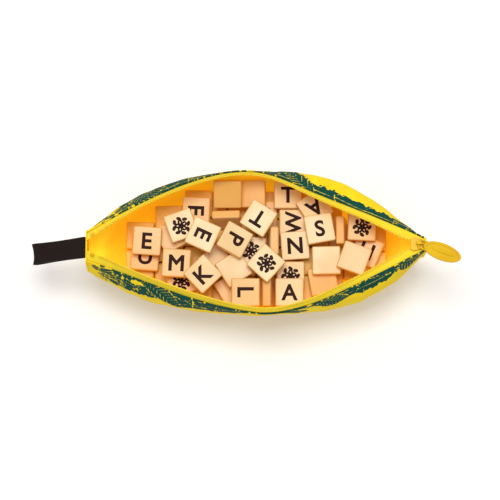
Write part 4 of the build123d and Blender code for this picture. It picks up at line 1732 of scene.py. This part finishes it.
@dataclass(frozen=True)
class TileHeap:
    """The tiles in view, each a rounded slab with its letter or flower, and those below them.

    A petal or leaf is an oval, given by its distance from the flower's middle and its half-widths
    across and along that way.
    """

    frame: dict[str, Any]
    finishes: Finishes
    side: float = 18.5
    thickness: float = 5.5
    edge: float = 1.05
    letter_height: float = 10.8
    weight: float = 0.028
    ink_depth: float = 0.06
    side_shade: float = 0.55
    face_depth: float = 0.2
    petals: int = 5
    petal: Triple = (2.4, 1.65, 1.7)
    petal_hole: Triple = (0.4, 0.25, 1)
    petal_start: float = 18.0
    wreath_leaves: int = 8
    wreath_leaf: Triple = (4.9, 1.15, 1.75)
    wreath_hole: Triple = (0.05, 0.05, 1)
    wreath_lean: float = 38.0
    flower_eye: float = 1.1
    flower_drop: float = 0.4
    hidden_layers: int = 5

    def slab(self) -> Object:
        """Build the one rounded slab that every tile is copied from.

        Returns:
            The slab, with painted shade, a darker tone, round its sides.
        """
        size = (self.side, self.side, self.thickness)
        slab = start_from("tile_pattern", bpy.ops.mesh.primitive_cube_add, size, size=1)
        round_edges(slab, self.edge)
        dress(slab, self.finishes.tile)
        # painted shade: the sides take a darker tone than the faces
        heights = np.abs([v.co.z for v in slab.data.vertices])
        face = (self.thickness / 2 - self.face_depth) * MM
        mark_points(slab, "tone", np.where(heights < face, self.side_shade, 0.0))
        return slab

    def letter(self, mark: str) -> Object:
        """Build one letter lying on the slab's face.

        Args:
            mark: The letter.

        Returns:
            The letter's ink.
        """
        deselect()
        bpy.ops.object.text_add()
        text = bpy.context.object.data
        text.body = mark
        text.align_x = "CENTER"
        text.size = 1.0
        text.bevel_depth = self.weight
        text.bevel_resolution = 1
        text.resolution_u = 4
        bpy.ops.object.convert(target="MESH")
        letter = name_last("letter")
        spots = np.array([v.co for v in letter.data.vertices])
        low, high = spots.min(axis=0), spots.max(axis=0)
        letter.data.transform(Matrix.Translation((-(low[0] + high[0]) / 2, -(low[1] + high[1]) / 2, 0)))
        size = self.letter_height * MM / (high[1] - low[1])
        letter.scale = (size, size, self.ink_depth * MM / self.weight)
        letter.location = (0, 0, self.thickness / 2 * MM)
        bake_place(letter)
        dress(letter, self.finishes.ink)
        return letter

    def ring(self, turn: float, shape: Sequence[float], heading: float, hole: Sequence[float]) -> Object:
        """Build one oval of the flower, open in its middle.

        Args:
            turn: Way from the flower's middle, in degrees.
            shape: The oval's distance out, half-width across and half-width along.
            heading: How far it is turned from that way, in degrees.
            hole: The opening's share of the oval along, across and up.

        Returns:
            The oval.
        """
        out, half_across, half_along = shape
        deselect()
        bpy.ops.mesh.primitive_circle_add(vertices=20, radius=1, fill_type="NOTHING")
        oval = name_last("petal")
        bpy.ops.object.mode_set(mode="EDIT")
        bpy.ops.mesh.select_all(action="SELECT")
        bpy.ops.mesh.extrude_edges_move()
        bpy.ops.transform.resize(value=hole)
        shape_all(oval, face_outward)
        if oval.data.polygons[0].normal.z < 0:
            oval.data.flip_normals()
        spread = Matrix.Diagonal((half_along * MM, half_across * MM, 1, 1))
        outward = Matrix.Rotation(math.radians(turn), 4, "Z") @ Matrix.Translation((out * MM, 0, 0))
        bake_place(oval, outward @ Matrix.Rotation(math.radians(heading), 4, "Z") @ spread)
        return oval

    def flower(self) -> Object:
        """Build the flower with a wreath of leaves that marks some of the tiles.

        Returns:
            The flower's ink.
        """
        parts = []
        for k in range(self.petals):
            turn = 360 / self.petals * k + self.petal_start
            parts.append(self.ring(turn, self.petal, 0.0, self.petal_hole))
        for k in range(self.wreath_leaves):
            heading = 90 - self.wreath_lean * (-1) ** k
            parts.append(self.ring(360 / self.wreath_leaves * k, self.wreath_leaf, heading, self.wreath_hole))
        deselect()
        bpy.ops.mesh.primitive_circle_add(vertices=20, radius=self.flower_eye * MM, fill_type="NGON")
        flower = join([*parts, name_last("flower_eye")])
        flower.name = flower.data.name = "flower"
        height = self.thickness / 2 + self.ink_depth
        bake_place(flower, Matrix.Translation((0, -self.flower_drop * MM, height * MM)))
        dress(flower, self.finishes.ink)
        return flower

    def tile(self, seat: TileSeat, slab: Object) -> None:
        """Copy the slab, put the tile's mark on it and lay it where its node lies.

        Args:
            seat: How the tile lies, and its mark.
            slab: The slab to copy.
        """
        tile = slab.copy()
        tile.data = slab.data.copy()
        show(tile)
        # painted warm shade: tiles in the orange light near the lining take more of the shade colour
        for value in tile.data.attributes["tone"].data:
            value.value += seat.warm_shade * (1 - value.value)
        if seat.print_kind is not Print.BLANK:
            mark = self.flower() if seat.print_kind is Print.FLOWER else self.letter(seat.mark)
            tile = join([tile, mark])
        tile.name = tile.data.name = f"{seat.node}_moulding"
        low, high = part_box(seat.node)
        bake_place(tile, Matrix.Translation((Vector(low) + Vector(high)) / 2) @ seat.turned())
        stand_for(tile, seat.node, self.frame["nodes"][seat.node]["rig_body"])

    def build(self) -> None:
        """Build every tile in view and dress the ones below."""
        slab = self.slab()
        for seat in SEATS:
            self.tile(seat, slab)
        bpy.data.objects.remove(slab)
        layers = [f"tile_layer_{number}" for number in range(1, self.hidden_layers + 1)]
        # painted shade: the tiles below take the darker copy of the tile plastic
        dress_nodes(self.frame, layers, self.finishes.shaded_tile)


# --- studio ---


@dataclass(frozen=True)
class Studio:
    """White floor, soft light from above, and the camera above the pouch.

    Light goes round inside the pouch many times before it comes out, so it's given many bounces.
    """

    elevation: float = 80.0
    distance: float = 1200.0
    target: Triple = (-4.2, -7.25, 56.0)
    frame_width: float = 325.0
    sensor: float = 36.0
    daylight: float = 0.54
    lamp_power: float = 14.4
    lamp_size: float = 0.62
    lamp_place: Triple = (-0.05, 0.24, 1.5)
    bounces: int = 6
    floor_size: float = 12.0
    paper: str = "#FBF8F7"
    glow_share: float = 0.12
    glow_strength: float = 1.25

    def camera(self) -> None:
        """Add the camera."""
        tilt = math.radians(self.elevation)
        away = Vector((0, -math.cos(tilt), math.sin(tilt)))
        data = bpy.data.cameras.new("camera")
        data.sensor_width = self.sensor
        data.lens = self.sensor * self.distance / self.frame_width
        camera = bpy.data.objects.new("camera", data)
        camera.location = (Vector(self.target) + away * self.distance) * MM
        camera.rotation_euler = (math.pi / 2 - tilt, 0, 0)
        show(camera)
        bpy.context.scene.camera = camera

    def floor(self) -> None:
        """Add the white floor, which keeps the pouch's shadow.

        A share of plain glow, which only the camera, glossy and clear surfaces see, whitens it.
        """
        deselect()
        bpy.ops.mesh.primitive_plane_add(size=self.floor_size)
        floor = name_last("floor")
        material = bpy.data.materials.new("white_paper_floor")
        material.use_nodes = True
        tree = material.node_tree
        tree.nodes.remove(tree.nodes["Principled BSDF"])
        rays = add_node(tree, "LightPath").outputs
        seen = rays["Is Camera Ray"]
        for ray in ("Is Glossy Ray", "Is Transmission Ray"):
            either = {"operation": "ADD", "use_clamp": True}
            seen = add_node(tree, "Math", either, {0: seen, 1: rays[ray]})
        share = add_node(tree, "Math", {"operation": "MULTIPLY", 1: self.glow_share}, {0: seen})
        paper = add_node(tree, "BsdfDiffuse", {"Color": linear(self.paper)})
        glow = add_node(tree, "Emission", {"Color": WHITE, "Strength": self.glow_strength})
        mix = add_node(tree, "MixShader", {}, {0: share, 1: paper, 2: glow})
        set_node(tree.nodes["Material Output"], {}, {"Surface": mix})
        dress(floor, material)

    def lights(self) -> None:
        """Add the white surroundings and the soft lamp."""
        world = bpy.data.worlds.new("studio")
        bpy.context.scene.world = world
        world.use_nodes = True
        set_node(world.node_tree.nodes["Background"], {"Color": WHITE, "Strength": self.daylight}, {})
        lamp_data = bpy.data.lights.new("soft_lamp", "AREA")
        lamp_data.energy = self.lamp_power
        lamp_data.size = self.lamp_size
        lamp = bpy.data.objects.new("soft_lamp", lamp_data)
        lamp.location = self.lamp_place
        lamp.rotation_euler = (-Vector(lamp.location)).to_track_quat("-Z", "Y").to_euler()
        show(lamp)

    def build(self) -> None:
        """Set up the whole studio."""
        self.camera()
        self.floor()
        self.lights()
        scene = bpy.context.scene
        scene.view_settings.view_transform = "Standard"
        scene.cycles.max_bounces = scene.cycles.diffuse_bounces = self.bounces


# --- making ---


def main() -> None:
    """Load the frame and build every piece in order."""
    logging.basicConfig(level=logging.INFO, format="%(name)s: %(message)s")
    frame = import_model()
    finishes = Finishes.build()
    form = PouchForm()
    Studio().build()
    PouchCloth(form, finishes).build()
    Zip(form, finishes).build()
    dress_nodes(frame, ("zip_slider", "zip_top_stops", "zip_bottom_stop"), finishes.enamel)
    Pull(finishes).build()
    Strap(finishes).build()
    TileHeap(frame, finishes).build()


if __name__ == "__main__":
    main()
